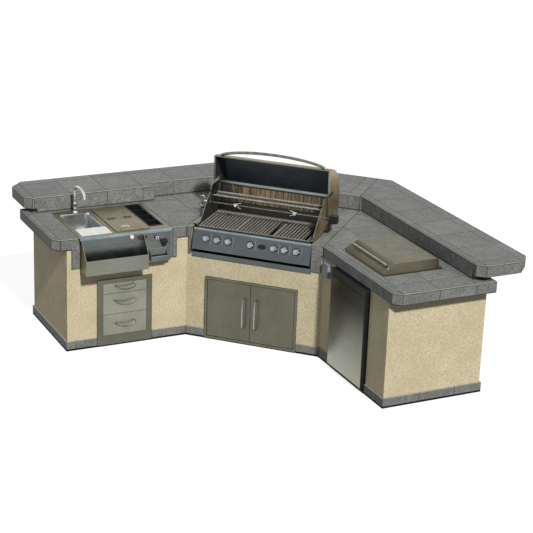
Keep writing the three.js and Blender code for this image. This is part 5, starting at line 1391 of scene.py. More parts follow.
@dataclass
class DrinksStation:
    """The sink, ice box, faucet and the fittings on the station's front.

    Attributes:
        face: front of the apron.
        deck: top of the deck.
        faucet: where the faucet stands along and across the deck.
        springing: height where the spout's bend starts.
        reach: how far the spout reaches forward.
        rise: how far the bend rises.
        tube: radius of the spout.
        beads: heights of the spout's two rings.
        knob: place of the water knob along and up the apron.
        peg: place of the peg.
        badge: place of the badge.
        drain: place of the sink's drain.
    """

    face: float = -0.0353
    deck: float = 0.006
    faucet: tuple[float, float] = (-0.7106, 0.59)
    springing: float = 0.187
    reach: float = 0.225
    rise: float = 0.048
    tube: float = 0.011
    beads: tuple[float, float] = (0.118, 0.150)
    knob: tuple[float, float] = (-0.476, -0.024)
    peg: tuple[float, float] = (-0.272, -0.047)
    badge: tuple[float, float] = (-0.388, -0.038)
    drain: Triple = (-0.731, 0.2875, -0.18)

    @staticmethod
    def _zone(look: Look, low: Triple, high: Triple, *facing: Triple | float) -> Zone:
        """Marks faces in the station's axes."""
        return Zone(look, Place.STATION, low, high, *facing)

    def _body(self) -> None:
        """Dresses the deck, lids, board, tray, rail and the small castings."""
        zone = self._zone
        apron = zone(Look.APRON_STEEL, (-1.0, -0.04, -0.26), (0.0, -0.03, -0.011), FORWARDS)
        # The nose's upper, front-facing faces get a painted highlight.
        nose = zone(Look.NOSE_STEEL, (-1.0, -0.036, -0.014), (0.0, -0.01, 0.007),
                    (0, -0.6, 0.6), 0.3)
        level = zone(Look.LID_STEEL, (-1.0, -0.02, 0.005), (0.0, 0.65, 0.007), UPWARDS, 0.95)
        basin = zone(Look.SINK_STEEL, (-0.856, 0.018, -0.185), (-0.606, 0.557, 0.004))
        DressedNode("station_body", Look.STEEL, (apron, nose, level, basin), 0.0012,
                    angle=24.0).build()
        hinges = zone(Look.STEEL, (-1.0, 0.2, 0.0146), (0.0, 0.6, 0.06))
        pull = zone(Look.BRIGHT, (-0.53, 0.0, 0.0145), (-0.44, 0.12, 0.06))
        DressedNode("ice_lid_rear", Look.LID_STEEL, (hinges,)).build()
        DressedNode("ice_lid_front", Look.LID_STEEL, (hinges, pull)).build()
        DressedNode("cutting_board", Look.WHITE, radius=0.002, segments=3).build()
        DressedNode("condiment_tray", Look.BLACK, radius=0.0014).build()
        trough_end = zone(Look.WARM_STEEL, (-0.8785, -0.2, -0.3), (-0.8775, 0.0, 0.0), LEFTWARDS)
        trough_back = zone(Look.APRON_STEEL, (-1.0, -0.138, -0.3), (0.0, 0.0, 0.0), FORWARDS)
        DressedNode("speed_rail", Look.RAIL_STEEL, (trough_end, trough_back)).build()
        rim = zone(Look.GRIP_STEEL, (-0.4, -0.12, -0.3), (0.0, 0.0, 0.0), UPWARDS, 0.8)
        DressedNode("cap_catcher", Look.APRON_STEEL, (rim,)).build()
        DressedNode("bottle_opener", Look.BLACK, radius=0.0016, segments=3).build()

    def _faucet(self) -> None:
        """Turns the faucet's body and sweeps its spout.

        The spout rises straight, goes over half an ellipse whose height is the rise and whose
        width is the reach, and ends in its outlet.
        """
        place = Place.STATION.value
        body = turned([(0.0, GAP), (0.024, GAP), (0.0243, 0.003), (0.0225, 0.0052),
                       (0.0185, 0.0065), (0.0158, 0.010), (0.015, 0.016), (0.015, 0.030),
                       (0.0157, 0.0315), (0.0157, 0.0345), (0.015, 0.036), (0.015, 0.0492),
                       (0.0143, 0.05), (0.0077, 0.05), (0.0077, 0.062), (0.0, 0.062)])
        body.moved(place.seat(*self.faucet, self.deck, Facing.UP)).piece(
            "faucet_body_fine", "island", (Look.BRIGHT,), ("faucet_body",))

        start, bend, steps = self.deck + 0.0503, self.reach / 2, 48
        sleeve = turned([(0.0078, 0.0), (0.0147, 0.0), (0.015, 0.0006), (0.015, 0.022),
                         (0.0146, 0.0245), (0.0125, 0.029), (0.0115, 0.034), (0.011, 0.038),
                         (0.0078, 0.038)])
        stem = line((0, 0, start + 0.03), (0, 0, self.springing), 12)[:-1]
        angle = np.linspace(0.0, np.pi, steps)
        arch = np.stack([np.zeros(steps), -bend + bend * np.cos(angle),
                         self.springing + self.rise * np.sin(angle)], axis=1)
        tip = np.array([[0.0, -self.reach, self.springing - drop] for drop in (0.004, 0.008)])
        spout = swept(np.vstack([stem, arch, tip]), (1, 0, 0), circle(self.tube, 28))
        outlet = turned([(0.0, 0.0), (0.0085, 0.0), (0.0085, 0.001), (0.0122, 0.0015),
                         (0.0122, 0.0135), (0.0114, 0.015), (0.0, 0.015)],
                        40, [1, 1, 0, 0, 0, 0])
        bead = turned([(0.0, 0.0), (0.0112, 0.0), (0.0128, 0.0015), (0.0128, 0.003),
                       (0.0112, 0.0045), (0.0, 0.0045)])
        parts = [sleeve.shifted(0, 0, start), spout,
                 outlet.shifted(0, -self.reach, self.springing - 0.009)]
        parts += [bead.shifted(0, 0, height) for height in self.beads]
        joined(parts).moved(place.seat(*self.faucet, 0.0, Facing.UP)).piece(
            "faucet_spout_fine", "faucet_spout", (Look.BRIGHT, Look.BLACK), ("faucet_spout",))

    def _on_apron(self, spot: tuple[float, float]) -> Matrix:
        """Gives a place on the apron's front."""
        return Place.STATION.value.seat(spot[0], self.face, spot[1])

    def _fittings(self) -> None:
        """Turns the water knob, the peg and the badge."""
        stem = turned([(0.0, -0.014), (0.0048, -0.014), (0.005, 0.0), (0.0, 0.0)], 24)
        grip = turned([(0.0, 0.0), (0.0165, 0.0), (0.017, 0.001), (0.017, 0.010),
                       (0.0162, 0.0165), (0.0140, 0.0190), (0.0100, 0.0200), (0.0, 0.0197)],
                      96, flutes=16, cut=0.07)
        (stem + grip).moved(self._on_apron(self.knob)).piece(
            "water_knob_fine", "water_knob", (Look.WHITE,), ("water_knob",))
        peg = turned([(0.0, 0.0), (0.019, 0.0), (0.0192, 0.002), (0.0165, 0.0042),
                      (0.0105, 0.0055), (0.0072, 0.008), (0.0070, 0.014), (0.0085, 0.0165),
                      (0.0128, 0.0178), (0.014, 0.0195), (0.0128, 0.0215), (0.0070, 0.0220),
                      (0.0, 0.0218)], looks=[0, 0, 1, 1, 1, 0, 0, 0, 0, 0, 0, 1])
        peg.moved(self._on_apron(self.peg)).piece(
            "towel_peg_fine", "island", (Look.BRIGHT, Look.BLACK), ("towel_peg",))
        Badge(0.041, 0.021).surface().moved(self._on_apron(self.badge)).piece(
            "station_badge", "island", (Look.BRONZE, Look.ENAMEL))

    def _strainer(self) -> None:
        """Turns the sink's strainer with two rings of holes."""
        dish = turned([(0.0, -0.002), (0.0215, -0.002), (0.0215, 0.0002), (0.029, 0.0002),
                       (0.029, 0.0012), (0.027, 0.002), (0.021, 0.0016), (0.019, -0.0005),
                       (0.0, -0.0007)])
        hole = turned([(0.0, -0.0008), (0.0022, -0.0008), (0.0022, -0.0003), (0.0, -0.0002)],
                      16, 1)
        holes = [hole.shifted(x, y, 0) for radius, count in ((0.006, 6), (0.0135, 12))
                 for x, y in circle(radius, count)]
        joined([dish, *holes]).moved(Place.STATION.value.seat(*self.drain, Facing.UP)).piece(
            "sink_strainer", "island", (Look.SINK_STEEL, Look.BLACK))

    def build(self) -> None:
        """Builds the station."""
        self._body()
        self._faucet()
        self._fittings()
        self._strainer()


def foot_shadow_strip(node: str, place: Place) -> None:
    """Adds a black strip between a frame and the floor, a painted contact shadow.

    Args:
        node: CAD node of the frame.
        place: the section that it stands in.
    """
    low, high = place.value.extent(node)
    half_width, half_height = (high[0] - low[0]) / 2 - 0.001, low[2] / 2
    seat = place.value.seat((low[0] + high[0]) / 2, TILE_PROUD + 0.0001, half_height + 0.0005)
    plate(half_width, half_height, 0.001, TILE_PROUD + 0.0018, 0.0004).moved(seat).piece(
        node + "_seal", "island", (Look.GASKET,))


@dataclass
class DrawerStack:
    """The three drawers and their frame.

    Attributes:
        pull_front: how far forward the pulls start.
    """

    pull_front: float = -0.004

    def build(self) -> None:
        """Dresses the frame and the drawers, with their darker pulls."""
        left = Place.LEFT
        inside = Zone(Look.SHADED_STEEL, left, (-0.8, 0.001, 0.05), (-0.2, 0.7, 0.56))
        front = Zone(Look.STEEL, left, (-0.742, -0.004, 0.0), (-0.286, 0.0, 0.56), FORWARDS)
        DressedNode("drawer_frame", Look.STEEL_UP, (inside, front)).build()
        foot_shadow_strip("drawer_frame", left)
        pull = Zone(Look.HANDLE_STEEL, left, (-0.7, -0.06, 0.0), (-0.3, self.pull_front, 0.56))
        for node in ("drawer_top", "drawer_middle", "drawer_bottom"):
            DressedNode(node, Look.DRAWER_STEEL, (pull,), 0.0014, 3, 24.0).build()


@dataclass
class DoorPair:
    """The two doors under the grill and their frame.

    Attributes:
        handle_front: how far forward the handles start.
    """

    handle_front: float = -0.002

    def build(self) -> None:
        """Dresses the frame and the doors, with bright bows."""
        whole = Place.WHOLE
        inside = Zone(Look.SHADED_STEEL, whole, (-0.5, 0.0005, 0.0), (0.5, 0.2, 0.6))
        DressedNode("door_frame", Look.STEEL, (inside,)).build()
        foot_shadow_strip("door_frame", whole)
        bow = Zone(Look.GRIP_STEEL, whole, (-0.2, -0.06, 0.0), (0.2, self.handle_front, 0.6))
        for node in ("door_left", "door_right"):
            DressedNode(node, Look.STEEL_UP, (bow,), 0.0014, 3, 24.0).build()


@dataclass
class Grill:
    """The grill with its panel, knobs, hood, spit and rear burner.

    Attributes:
        half: half its width.
        wall: how far out its side walls stand.
        cheek: how far out the faces of their outer sides start.
        inside: how far out the firebox is sooty.
        far: farther out than any part of it.
        knob_shares: places of the knobs as shares of the width.
        mark_aside: how far each mark stands from its knob.
        badge: place of the badge along and up the panel.
        rack_spaces: spaces between the warming rack's thick wires.
        rack_fine: steps of the fine wires in each space.
        rack_rim: width of the rack's rim.
        rack_height: height of the fine wires.
        spit_back: how far back the spit lies.
        spit_height: its height.
        window_half: half the width of the rear window.
        housing: front of the rear housing.
        burner_left: left end of the ribbed face.
        hood_inside: how far out the hood's liner reaches.
        bow: half the length of the hood's handle.
        bow_rise: how far it stands off the hood.
        bow_up: how far above the hood's lip it runs.
    """

    half: float = 0.49
    wall: float = 0.462
    cheek: float = 0.464
    inside: float = 0.4625
    far: float = 0.8
    knob_shares: tuple[float, ...] = (-0.381, -0.288, -0.194, -0.008, 0.186, 0.277, 0.376)
    mark_aside: float = 0.042
    badge: tuple[float, float] = (0.089, -0.002)
    rack_spaces: int = 12
    rack_fine: int = 4
    rack_rim: float = 0.014
    rack_height: float = 0.1525
    spit_back: float = 0.322
    spit_height: float = 0.112
    window_half: float = 0.44
    housing: float = 0.501
    burner_left: float = -0.35
    hood_inside: float = 0.4688
    bow: float = 0.432
    bow_rise: float = 0.058
    bow_up: float = 0.030

    @property
    def knob_places(self) -> list[float]:
        """Where the knobs sit along the panel."""
        return [share * 2 * self.half for share in self.knob_shares]

    @staticmethod
    def _zone(look: Look, low: Triple, high: Triple, *facing: Triple | float) -> Zone:
        """Marks faces in the grill's axes."""
        return Zone(look, Place.GRILL, low, high, *facing)

    def _firebox(self) -> None:
        """Dresses the firebox: its sooty tub, the rear housing, the flange and the walls."""
        far, cheek, inside, zone = self.far, self.cheek, self.inside, self._zone
        tub = zone(Look.SOOT, (-inside, 0.05, -0.26), (inside, 0.5345, 0.0))
        back = zone(Look.SHADED_STEEL, (-inside, 0.05, 0.0), (inside, 0.5345, 0.245))
        brims = zone(Look.STRIP_STEEL, (-far, 0.06, 0.012), (far, 0.54, 0.26), (0, -0.45, 1), 0.6)
        flange = zone(Look.LID_STEEL, (-far, 0.0, 0.008), (far, 0.7, 0.0112), UPWARDS, 0.95)
        right = zone(Look.SIDE_STEEL, (cheek, 0.0, 0.012), (far, 0.7, 0.3), RIGHTWARDS)
        left = zone(Look.SIDE_STEEL, (-far, 0.0, 0.012), (-cheek, 0.7, 0.3), LEFTWARDS)
        DressedNode("firebox", Look.STEEL, (tub, back, brims, flange, right, left),
                    0.0012).build()

    def _panel(self) -> None:
        """Dresses the control panel: its rail with a painted highlight, the gap below painted
        black as shade, both ends and the wells.
        """
        far, end, zone = self.far, self.half - 0.0005, self._zone
        # The rail's upper, front-facing faces get a painted highlight.
        rail = zone(Look.BULLNOSE_STEEL, (-far, 0.0, -0.0395), (far, 0.06, -0.012),
                    (0, -0.5, 0.6), 0.2)
        fold = zone(Look.PANEL_STEEL, (-far, 0.0, -0.0405), (far, 0.06, -0.0262), FORWARDS)
        # The band below the panel is painted black as the shade of the gap.
        gap = zone(Look.BLACK, (-far, -0.1, -0.26), (far, 0.1, -0.1795))
        left = zone(Look.BLACK, (-far, -0.1, -0.26), (-end, 0.1, 0.0), LEFTWARDS)
        right = zone(Look.BLACK, (end, -0.1, -0.26), (far, 0.1, 0.0), RIGHTWARDS)
        wells = Zone(Look.BLACK, Place.PANEL, (-0.5, -0.007, -0.034), (0.5, -0.001, 0.034))
        DressedNode("control_panel", Look.PANEL_STEEL, (rail, fold, gap, left, right, wells),
                    0.0016, 3, 20.0).build()

    def _inner_parts(self) -> None:
        """Dresses the tray and what lies in the firebox, and adds the rack's fine wires."""
        DressedNode("drip_tray", Look.PANEL_STEEL, radius=0.002, segments=3).build()
        DressedNode("gas_burners", Look.STEEL).build()
        DressedNode("heat_plates", Look.SOOT).build()
        for node in ("grate_1", "grate_2", "grate_3"):
            DressedNode(node, Look.GRATE, radius=0.0018, segments=3).build()
        DressedNode("warming_rack", Look.RACK_WIRE, radius=0.0012, segments=3).build()
        self._rack_wires()
        DressedNode("rotisserie_motor", Look.BLACK, radius=0.004, segments=3).build()

    def _rack_wires(self) -> None:
        """Sweeps the fine wires between the warming rack's thicker ones."""
        place, height = Place.GRILL.value, self.rack_height
        low, high = place.extent("warming_rack")
        steps = self.rack_spaces * self.rack_fine
        pitch = (high[0] - low[0] - 2 * self.rack_rim) / steps
        front, back, section = low[1] + 0.006, high[1] - 0.006, circle(0.002, 10)
        places = [low[0] + self.rack_rim + step * pitch for step in range(steps)
                  if step % self.rack_fine]
        joined(swept(line((x, front, height), (x, back, height)), (1, 0, 0), section)
               for x in places).moved(place.matrix).piece(
            "warming_rack_wires", "island", (Look.RACK_WIRE,))

    def _panel_fittings(self) -> None:
        """Adds the marks, the badge and the end trims to the panel."""
        place = Place.PANEL.value
        mark = plate(0.0011, 0.041, 0.0009, 0.0004, 0.0002)
        joined(mark.moved(place.seat(x + self.mark_aside, -GAP / 2, 0.002))
               for x in self.knob_places).piece("panel_marks", "island", (Look.PALE_MARK,))
        Badge(0.035, 0.02).surface().moved(place.seat(self.badge[0], 0.0, self.badge[1])).piece(
            "panel_badge", "island", (Look.BRONZE, Look.BLACK))
        section = np.array([[0.058, -0.0142], [0.039, -0.0142], [0.031, -0.017],
                            [0.0265, -0.026], [0.0268, -0.04], [0.011, -0.109],
                            [-0.0052, -0.178], [-0.0052, -0.19], [0.006, -0.2]])
        trims = []
        for end in (0.0042 - self.half, self.half - 0.0042):
            path = np.column_stack([np.full(len(section), end), section])
            trims.append(swept(path, (1, 0, 0), rounded_outline(0.0041, 0.0016, 0.0012, 3)))
        joined(trims).moved(Place.GRILL.value.matrix).piece(
            "panel_end_trims", "island", (Look.BLACK,))

    def _knobs(self) -> None:
        """Turns the knobs: stem, flared skirt, fluted grip, domed cap and its blue middle, a
        painted sky reflection.
        """
        stem = turned([(0.0, -0.0235), (0.0045, -0.0235), (0.0045, 0.0046), (0.0, 0.0046)], 24)
        body = turned([(0.0, 0.0044), (0.0235, 0.0044), (0.025, 0.0052), (0.025, 0.0072),
                       (0.0226, 0.0092), (0.0214, 0.0120), (0.0210, 0.0230), (0.0202, 0.0258),
                       (0.0180, 0.0269), (0.0118, 0.0264), (0.0112, 0.0252), (0.0, 0.0250)],
                      120, flutes=30, cut=0.03)
        middle = turned([(0.0, 0.0251), (0.0108, 0.0251), (0.0108, 0.0262), (0.0085, 0.0270),
                         (0.0, 0.0272)], 40, 1)
        pointer = plate(0.0045, 0.0028, 0.0014, 0.012, 0.0012, 2).shifted(0.0243, 0, 0.009)
        knob = joined([stem, body, middle, pointer])
        bezel = turned([(0.0262, 0.0036), (0.0304, 0.0036), (0.0304, 0.0048), (0.0294, 0.0056),
                        (0.0272, 0.0056), (0.0262, 0.0048), (0.0262, 0.0036)], 64)
        for number, x in enumerate(self.knob_places, start=1):
            seat = Place.PANEL.value.seat(x, 0.0, 0.0)
            node = f"knob_{number}"
            knob.moved(seat).piece(
                node + "_fine", node, (Look.GRIP_STEEL, Look.CAP_BLUE, Look.WHITE), (node,))
            bezel.moved(seat).piece(node + "_bezel", "island", (Look.BLACK,))

    def _hood(self) -> None:
        """Dresses the hood with its dark liner, whose end plates carry painted shade, and adds the
        liner's rivets.
        """
        hood, inside = Place.HOOD, self.hood_inside
        zones = [Zone(Look.LINER, hood, (-inside, -0.387, -0.08), (inside, 0.0465, 0.2095),
                      (0, 1, -1), 0.15),
                 Zone(Look.LINER, hood, (-inside, 0.0, -0.08), (inside, 0.0478, 0.2095),
                      (0, -1, -0.3), 0.5)]
        # The liner's end plates are painted near black as shade.
        for look, near, beyond, towards, foot, head in (
                (Look.LINER_END, -0.4695, -0.4685, RIGHTWARDS, -0.08, 0.22),
                (Look.LINER_END, 0.4685, 0.4695, LEFTWARDS, -0.08, 0.22),
                (Look.STRIP_STEEL, 0.46, 0.5, DOWNWARDS, -0.058, -0.0565),
                (Look.SIDE_STEEL, 0.47, 0.5, RIGHTWARDS, -0.06, 0.3),
                (Look.SIDE_STEEL, -0.5, -0.47, LEFTWARDS, -0.06, 0.3)):
            zones.append(Zone(look, hood, (near, -0.4, foot), (beyond, 0.06, head), towards))
        DressedNode("hood", Look.HOOD_STEEL, tuple(zones), 0.0014, 3, 24.0).build()
        rivet = turned([(0.0, -0.003), (0.0062, -0.003), (0.0068, 0.0), (0.0060, 0.0008),
                        (0.0, 0.0010)], 24)
        inwards = Matrix.Rotation(math.pi - math.atan(0.35), 4, "X")
        joined(rivet.moved(hood.value.matrix @ Matrix.Translation((x, -0.193, 0.1968)) @ inwards)
               for x in (-0.084, -0.047, -0.012, 0.025)).piece(
            "hood_rivets", "hood", (Look.BLACK,))

    def _hood_handle(self) -> None:
        """Sweeps the hood's bowed handle.

        The bow leaves the face by its rise times a power of the sine, while it runs along the
        width by the cosine of the same angle.
        """
        steps = 97
        angle = np.linspace(0.0, np.pi, steps)
        low, high = np.array([-0.393, -0.057]), np.array([-0.3872, -0.0022])
        face = low[0] + (high[0] - low[0]) * self.bow_up / (high[1] - low[1])
        path = np.stack([-self.bow * np.cos(angle), face - self.bow_rise * np.sin(angle) ** 1.3,
                         np.full(steps, low[1] + self.bow_up)], axis=1)
        handle = swept(path, (0, 0, 1), rounded_outline(0.0098, 0.0117, 0.0092))
        handle.points[:, 1] = np.minimum(handle.points[:, 1], face + 0.0002)
        handle.moved(Place.HOOD.value.matrix).piece(
            "hood_handle_fine", "hood", (Look.HANDLE_STEEL,), ("hood_handle",), 50.0)

    def _loop_handle(self, end: float) -> list[Surface]:
        """Builds the spit's loop handle with its neck and its ball.

        Args:
            end: the shaft's end.

        Returns:
            The loop, the neck and the ball.
        """
        steps, ring, fall, ball = 73, 0.022, 0.044, 0.011
        turn = np.linspace(0, 2 * np.pi, steps)
        path = np.stack([end - ring + ring * np.cos(turn), np.zeros(steps),
                         fall * np.sin(turn)], axis=1)
        neck = turned([(0.0, -0.004), (0.0085, -0.004), (0.0095, 0.002), (0.0095, 0.012),
                       (0.0075, 0.018), (0.006, 0.022), (0.0, 0.022)])
        lie = Matrix.Translation((end - 0.002, 0, 0)) @ Matrix.Rotation(math.pi / 2, 4, "Y")
        half = np.linspace(0.0, np.pi, 25)
        bead = np.stack([ball * np.sin(half), -ball * np.cos(half)], axis=1).tolist()
        return [swept(path, (0, 1, 0), circle(0.0035, 12)), neck.moved(lie),
                turned(bead, 32, 1).shifted(end - ring, 0, -0.046 - ball)]

    def _fork(self, side: int) -> list[Surface]:
        """Builds one fork: hub, thumb screw and two tines that spread by a power of their length.

        Args:
            side: -1 for the left fork, 1 for the right one.

        Returns:
            Its parts.
        """
        x, steps = side * self.half / 2, 20
        hub = turned([(0.0, -0.015), (0.0138, -0.015), (0.015, -0.0138), (0.015, 0.0138),
                      (0.0138, 0.015), (0.0, 0.015)], 32)
        screw = turned([(0.0, 0.0), (0.0045, 0.0), (0.0045, 0.016), (0.0085, 0.0165),
                        (0.0085, 0.021), (0.0, 0.021)], 24, flutes=8, cut=0.1)
        parts = [part.moved(Matrix.Translation((x, 0, 0)) @ Matrix.Rotation(math.pi / 2, 4, axis))
                 for part, axis in ((hub, "Y"), (screw, "X"))]
        share = np.linspace(0.0, 1.0, steps)
        widths = 1.0 - 0.8 * np.clip((share - 0.7) / 0.3, 0, 1)
        for up in (-1, 1):
            tine = np.stack([x - side * 0.046 * share, np.zeros(steps),
                             up * (0.0075 + 0.0155 * share ** 0.7)], axis=1)
            parts.append(swept(tine, (0, 1, 0), circle(0.0036, 14), widths=widths))
        return parts

    def _spit(self) -> None:
        """Builds the spit: shaft, loop handle and two forks with pointed tines."""
        start, end = -self.half - 0.016, self.half + 0.055
        shaft = swept(line((start, 0, 0), (end, 0, 0)), (0, 1, 0), circle(0.006, 20), 2)
        whole = joined([shaft, *self._loop_handle(start), *self._fork(-1), *self._fork(1)])
        seat = Place.GRILL.value.seat(0.0, self.spit_back, self.spit_height, Facing.UP)
        whole.moved(seat).piece("rotisserie_spit_fine", "spit",
                                (Look.BRIGHT, Look.BLACK, Look.HANDLE_STEEL), ("rotisserie_spit",))

    def _rear_burner(self) -> None:
        """Adds the housing's pale strip and legs, the ribbed face and the blank field beside it.

        The ribbed face comes forward from its valleys by its depth times a power of the sine of
        the way along it.
        """
        seat, housing, steps = Place.GRILL.value.seat, self.housing, 700
        leg = plate(0.0065, 0.074, 0.003, 0.002, 0.0012)
        strips = [plate(self.wall - 0.001, 0.0105, 0.003, 0.002, 0.0012).moved(
            seat(0.0, housing, 0.2355))]
        strips += [leg.moved(seat(side * (self.wall - 0.0085), housing, 0.149))
                   for side in (-1, 1)]
        strips.append(plate(0.0022, 0.0755, 0.001, 0.0022, 0.0008).moved(
            seat(self.burner_left, housing + 0.0135, 0.1465)))
        joined(strips).piece("rear_housing_trim", "island", (Look.STRIP_STEEL,))

        foot, head, rib, depth = 0.078, 0.214, 0.021, 0.0035
        x = np.linspace(self.burner_left + 0.006, self.window_half - 0.03, steps)
        front = housing + 0.0132 - depth * np.abs(np.sin(np.pi * (x - x[0]) / rib)) ** 0.6
        back = np.full(steps, housing + 0.0136)
        ring = np.stack([np.column_stack([x, y, np.full(steps, z)]) for y, z in
                         ((front, foot), (front, head), (back, head), (back, foot))], axis=1)
        Surface.grid(ring).moved(Place.GRILL.value.matrix).piece(
            "rear_burner_face", "island", (Look.CLAY,), smooth=60.0)
        middle = (self.burner_left - self.window_half) / 2
        half_width = (self.burner_left + self.window_half) / 2 - 0.006
        plate(half_width, 0.07, 0.004, 0.002, 0.0012).moved(
            seat(middle, housing + 0.0137, 0.146)).piece(
            "rear_burner_blank", "island", (Look.SOOT,))

    def build(self) -> None:
        """Builds the grill."""
        self._firebox()
        self._panel()
        self._inner_parts()
        self._panel_fittings()
        self._knobs()
        self._hood()
        self._hood_handle()
        self._spit()
        self._rear_burner()


@dataclass
class SideBurner:
    """The side burner with its cover.

    Attributes:
        middle: middle of the cover along the wing.
        half: half its width.
        front: front of its slope.
        foot: height where the slope starts.
        slope: how far back the slope goes.
        rise: how far it rises.
    """

    middle: float = 0.441
    half: float = 0.3
    front: float = 0.107
    foot: float = 0.0134
    slope: float = 0.088
    rise: float = 0.0595

    def build(self) -> None:
        """Dresses the body, the grate and the cover, and seams the panel set into its slope."""
        burner = Place.SIDE_BURNER
        rim = Zone(Look.WARM_STEEL, burner, (0.1, 0.09, -0.002), (0.8, 0.108, 0.012))
        DressedNode("burner_body", Look.STEEL, (rim,)).build()
        DressedNode("burner_grate", Look.IRON, radius=0.0016, segments=3).build()
        handle = Zone(Look.GRIP_STEEL, burner, (0.18, 0.09, 0.056), (0.7, 0.158, 0.1))
        DressedNode("burner_cover", Look.COVER_STEEL, (handle,), 0.0016, 3, 20.0).build()
        length = math.hypot(self.slope, self.rise)
        outline = rounded_outline(self.half - 0.05, length / 2 - 0.014, 0.008)
        middle = (outline[0] + outline[-1]) / 2
        closed = np.vstack([middle, outline, middle])
        path = np.column_stack([closed, np.zeros(len(closed))])
        spot = (self.middle, self.front + self.slope / 2, self.foot + self.rise / 2)
        place = (burner.value.matrix @ Matrix.Translation(spot)
                 @ Matrix.Rotation(math.atan2(self.rise, self.slope), 4, "X"))
        swept(path, (0, 0, 1), circle(0.0016, 10)).moved(place).piece(
            "burner_cover_seam", "burner_cover", (Look.SHADED_STEEL,))


@dataclass
class Fridge:
    """The fridge under the right wing."""

    def build(self) -> None:
        """Dresses the cabinet, the shelf and the door."""
        right = Place.RIGHT
        lining = Zone(Look.GREY, right, (0.24, 0.03, 0.06), (0.7, 0.56, 0.76))
        DressedNode("fridge_cabinet", Look.BLACK, (lining,)).build()
        foot_shadow_strip("fridge_cabinet", right)
        DressedNode("fridge_shelf", Look.BRIGHT).build()
        front = Zone(Look.FRIDGE_STEEL, right, (0.19, -0.033, 0.03), (0.745, -0.02, 0.78),
                     FORWARDS)
        lock = Zone(Look.BRIGHT, right, (0.431, -0.034, 0.780), (0.451, -0.0285, 0.800))
        DressedNode("fridge_door", Look.GASKET, (front, lock), 0.0025, 3).build()


@dataclass
class WallSocket:
    """The covered socket in the right wing's inner face."""

    def build(self) -> None:
        """Dresses the plate and the cover."""
        DressedNode("socket_plate", Look.GREY, radius=0.0016, segments=3).build()
        DressedNode("socket_cover", Look.GREY, radius=0.0022, segments=3).build()


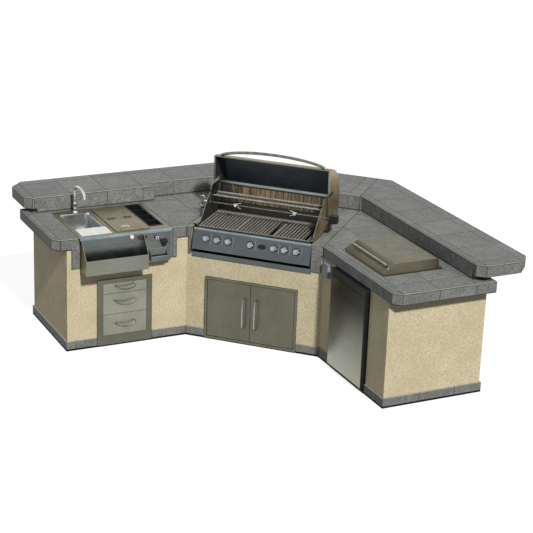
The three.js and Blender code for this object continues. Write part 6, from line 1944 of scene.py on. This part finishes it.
@dataclass
class Studio:
    """Floor, lamps and camera.

    Attributes:
        key: strength of the parallel light.
        key_turn: how far it stands to the right of the front, in degrees.
        key_height: how high it stands, in degrees.
        key_width: how wide its disc is, in degrees.
        fill: power of the lamp on the left.
        top: power of the lamp above.
        sky: strength of the surroundings.
        floor_half: half the floor's width.
        lens: the camera's focal length in the photograph's pixels.
        picture: the photograph's width in pixels.
        film: the camera's film width in millimetres.
        heading: the camera's yaw, pitch and roll, in degrees.
        stand: where it stands in the drawing.
    """

    key: float = 3.2
    key_turn: float = 41.5
    key_height: float = 41.0
    key_width: float = 5.0
    fill: float = 40.0
    top: float = 40.0
    sky: float = 0.22
    floor_half: float = 30.0
    lens: float = 1632.3
    picture: float = 533
    film: float = 36.0
    heading: Triple = (-18.8, 20.0, 2.12)
    stand: Triple = (3.9132, -11.1794, 4.9775)

    @staticmethod
    def _seen(wiring: Wiring) -> Socket:
        """Marks rays that see the background: from the camera, by reflection, through glass."""
        path = wiring.node("ShaderNodeLightPath").outputs
        either = wiring.math("MAXIMUM", path["Is Camera Ray"], path["Is Glossy Ray"])
        return wiring.math("MAXIMUM", either, path["Is Transmission Ray"])

    def floor(self) -> None:
        """Lays the pale floor."""
        reach = np.linspace(-self.floor_half, self.floor_half, 3)
        x, y = np.meshgrid(reach, reach)
        made = Surface.grid(np.stack([x, y, np.full_like(x, -0.0005)], axis=2), False,
                            closed=False)
        mesh = bpy.data.meshes.new("floor")
        mesh.from_pydata(made.points.tolist(), [], made.faces)
        floor = linked("floor", mesh)
        material = bpy.data.materials.new("paper")
        material.use_nodes = True
        wiring = Wiring(material.node_tree)
        plain = wiring.node("ShaderNodeBsdfDiffuse", {"Color": (0.2, 0.2, 0.2, 1)}).outputs[0]
        white = wiring.node("ShaderNodeEmission", {"Color": (1, 1, 1, 1), "Strength": 0.9})
        both = wiring.node("ShaderNodeAddShader", {0: plain, 1: white.outputs[0]}).outputs[0]
        mixed = wiring.node("ShaderNodeMixShader", {0: self._seen(wiring), 1: plain, 2: both})
        wiring.node("ShaderNodeOutputMaterial", {0: mixed.outputs[0]})
        mesh.materials.append(material)

    def world(self) -> None:
        """Makes the surroundings white to the eye and in reflections, and soft grey as light."""
        world = bpy.data.worlds.new("studio")
        bpy.context.scene.world = world
        world.use_nodes = True
        wiring = Wiring(world.node_tree)
        soft, white = (
            wiring.node("ShaderNodeBackground", {"Color": colour, "Strength": power}).outputs[0]
            for colour, power in (((0.88, 0.94, 1.0, 1), self.sky), ((1, 1, 1, 1), 1.0)))
        mixed = wiring.node("ShaderNodeMixShader", {0: self._seen(wiring), 1: soft, 2: white})
        wiring.node("ShaderNodeOutputWorld", {0: mixed.outputs[0]})

    @staticmethod
    def _lamp(name: str, place: Triple, aim: Triple, power: float, colour: Triple) -> None:
        """Adds a soft square lamp.

        Args:
            name: its name.
            place: where it stands.
            aim: the point that it faces.
            power: its power in watts.
            colour: its linear colour.
        """
        data = bpy.data.lights.new(name, "AREA")
        data.shape = "SQUARE"
        data.size = 5.0
        data.energy = power
        data.color = colour
        lamp = linked(name, data)
        lamp.location = place
        lamp.rotation_euler = (Vector(aim) - Vector(place)).to_track_quat("-Z", "Y").to_euler()

    def _sunlight(self) -> None:
        """Adds the parallel key light, which the crisp shadow lines of the overhangs need."""
        data = bpy.data.lights.new("key", "SUN")
        data.energy = self.key
        data.angle = math.radians(self.key_width)
        data.color = (1.0, 0.97, 0.92)
        lamp = linked("key", data)
        turn, height = math.radians(self.key_turn), math.radians(self.key_height)
        towards = Vector((math.sin(turn) * math.cos(height), -math.cos(turn) * math.cos(height),
                          math.sin(height)))
        lamp.rotation_euler = towards.to_track_quat("Z", "Y").to_euler()
        lamp.location = towards * 20

    def lamps(self) -> None:
        """Lights the island from the front right, with a weak fill from the left and above."""
        self._sunlight()
        self._lamp("fill", (-7.0, -5.0, 4.0), (0.0, 0.0, 0.6), self.fill, (0.9, 0.95, 1.0))
        self._lamp("top", (0.0, 2.0, 7.0), (0.0, 0.3, 0.9), self.top, (1.0, 1.0, 1.0))

    def camera(self) -> None:
        """Sets the camera found from the photograph's vanishing lines and island's corners."""
        yaw, pitch, roll = (math.radians(angle) for angle in self.heading)
        forward = Vector((math.sin(yaw) * math.cos(pitch), math.cos(yaw) * math.cos(pitch),
                          -math.sin(pitch)))
        right = Vector((math.cos(yaw), -math.sin(yaw), 0.0))
        up = right.cross(forward)
        across = right * math.cos(roll) + up * math.sin(roll)
        upward = up * math.cos(roll) - right * math.sin(roll)
        matrix = Matrix((across, upward, -forward)).transposed().to_4x4()
        matrix.translation = Vector(self.stand) + SHIFT
        data = bpy.data.cameras.new("camera")
        data.sensor_width = self.film
        data.lens = self.lens / self.picture * self.film
        data.clip_end = 200.0
        camera = linked("camera", data)
        camera.matrix_world = matrix
        bpy.context.scene.camera = camera

    def build(self) -> None:
        """Sets up the studio."""
        self.camera()
        self.floor()
        self.world()
        self.lamps()
        bpy.context.scene.view_settings.view_transform = "Standard"


def main() -> None:
    """Builds the whole scene."""
    logging.basicConfig(level=logging.INFO)
    Studio().build()
    for part in (Masonry(), DrinksStation(), DrawerStack(), DoorPair(), Grill(), SideBurner(),
                 Fridge(), WallSocket()):
        part.build()


if __name__ == "__main__":
    main()
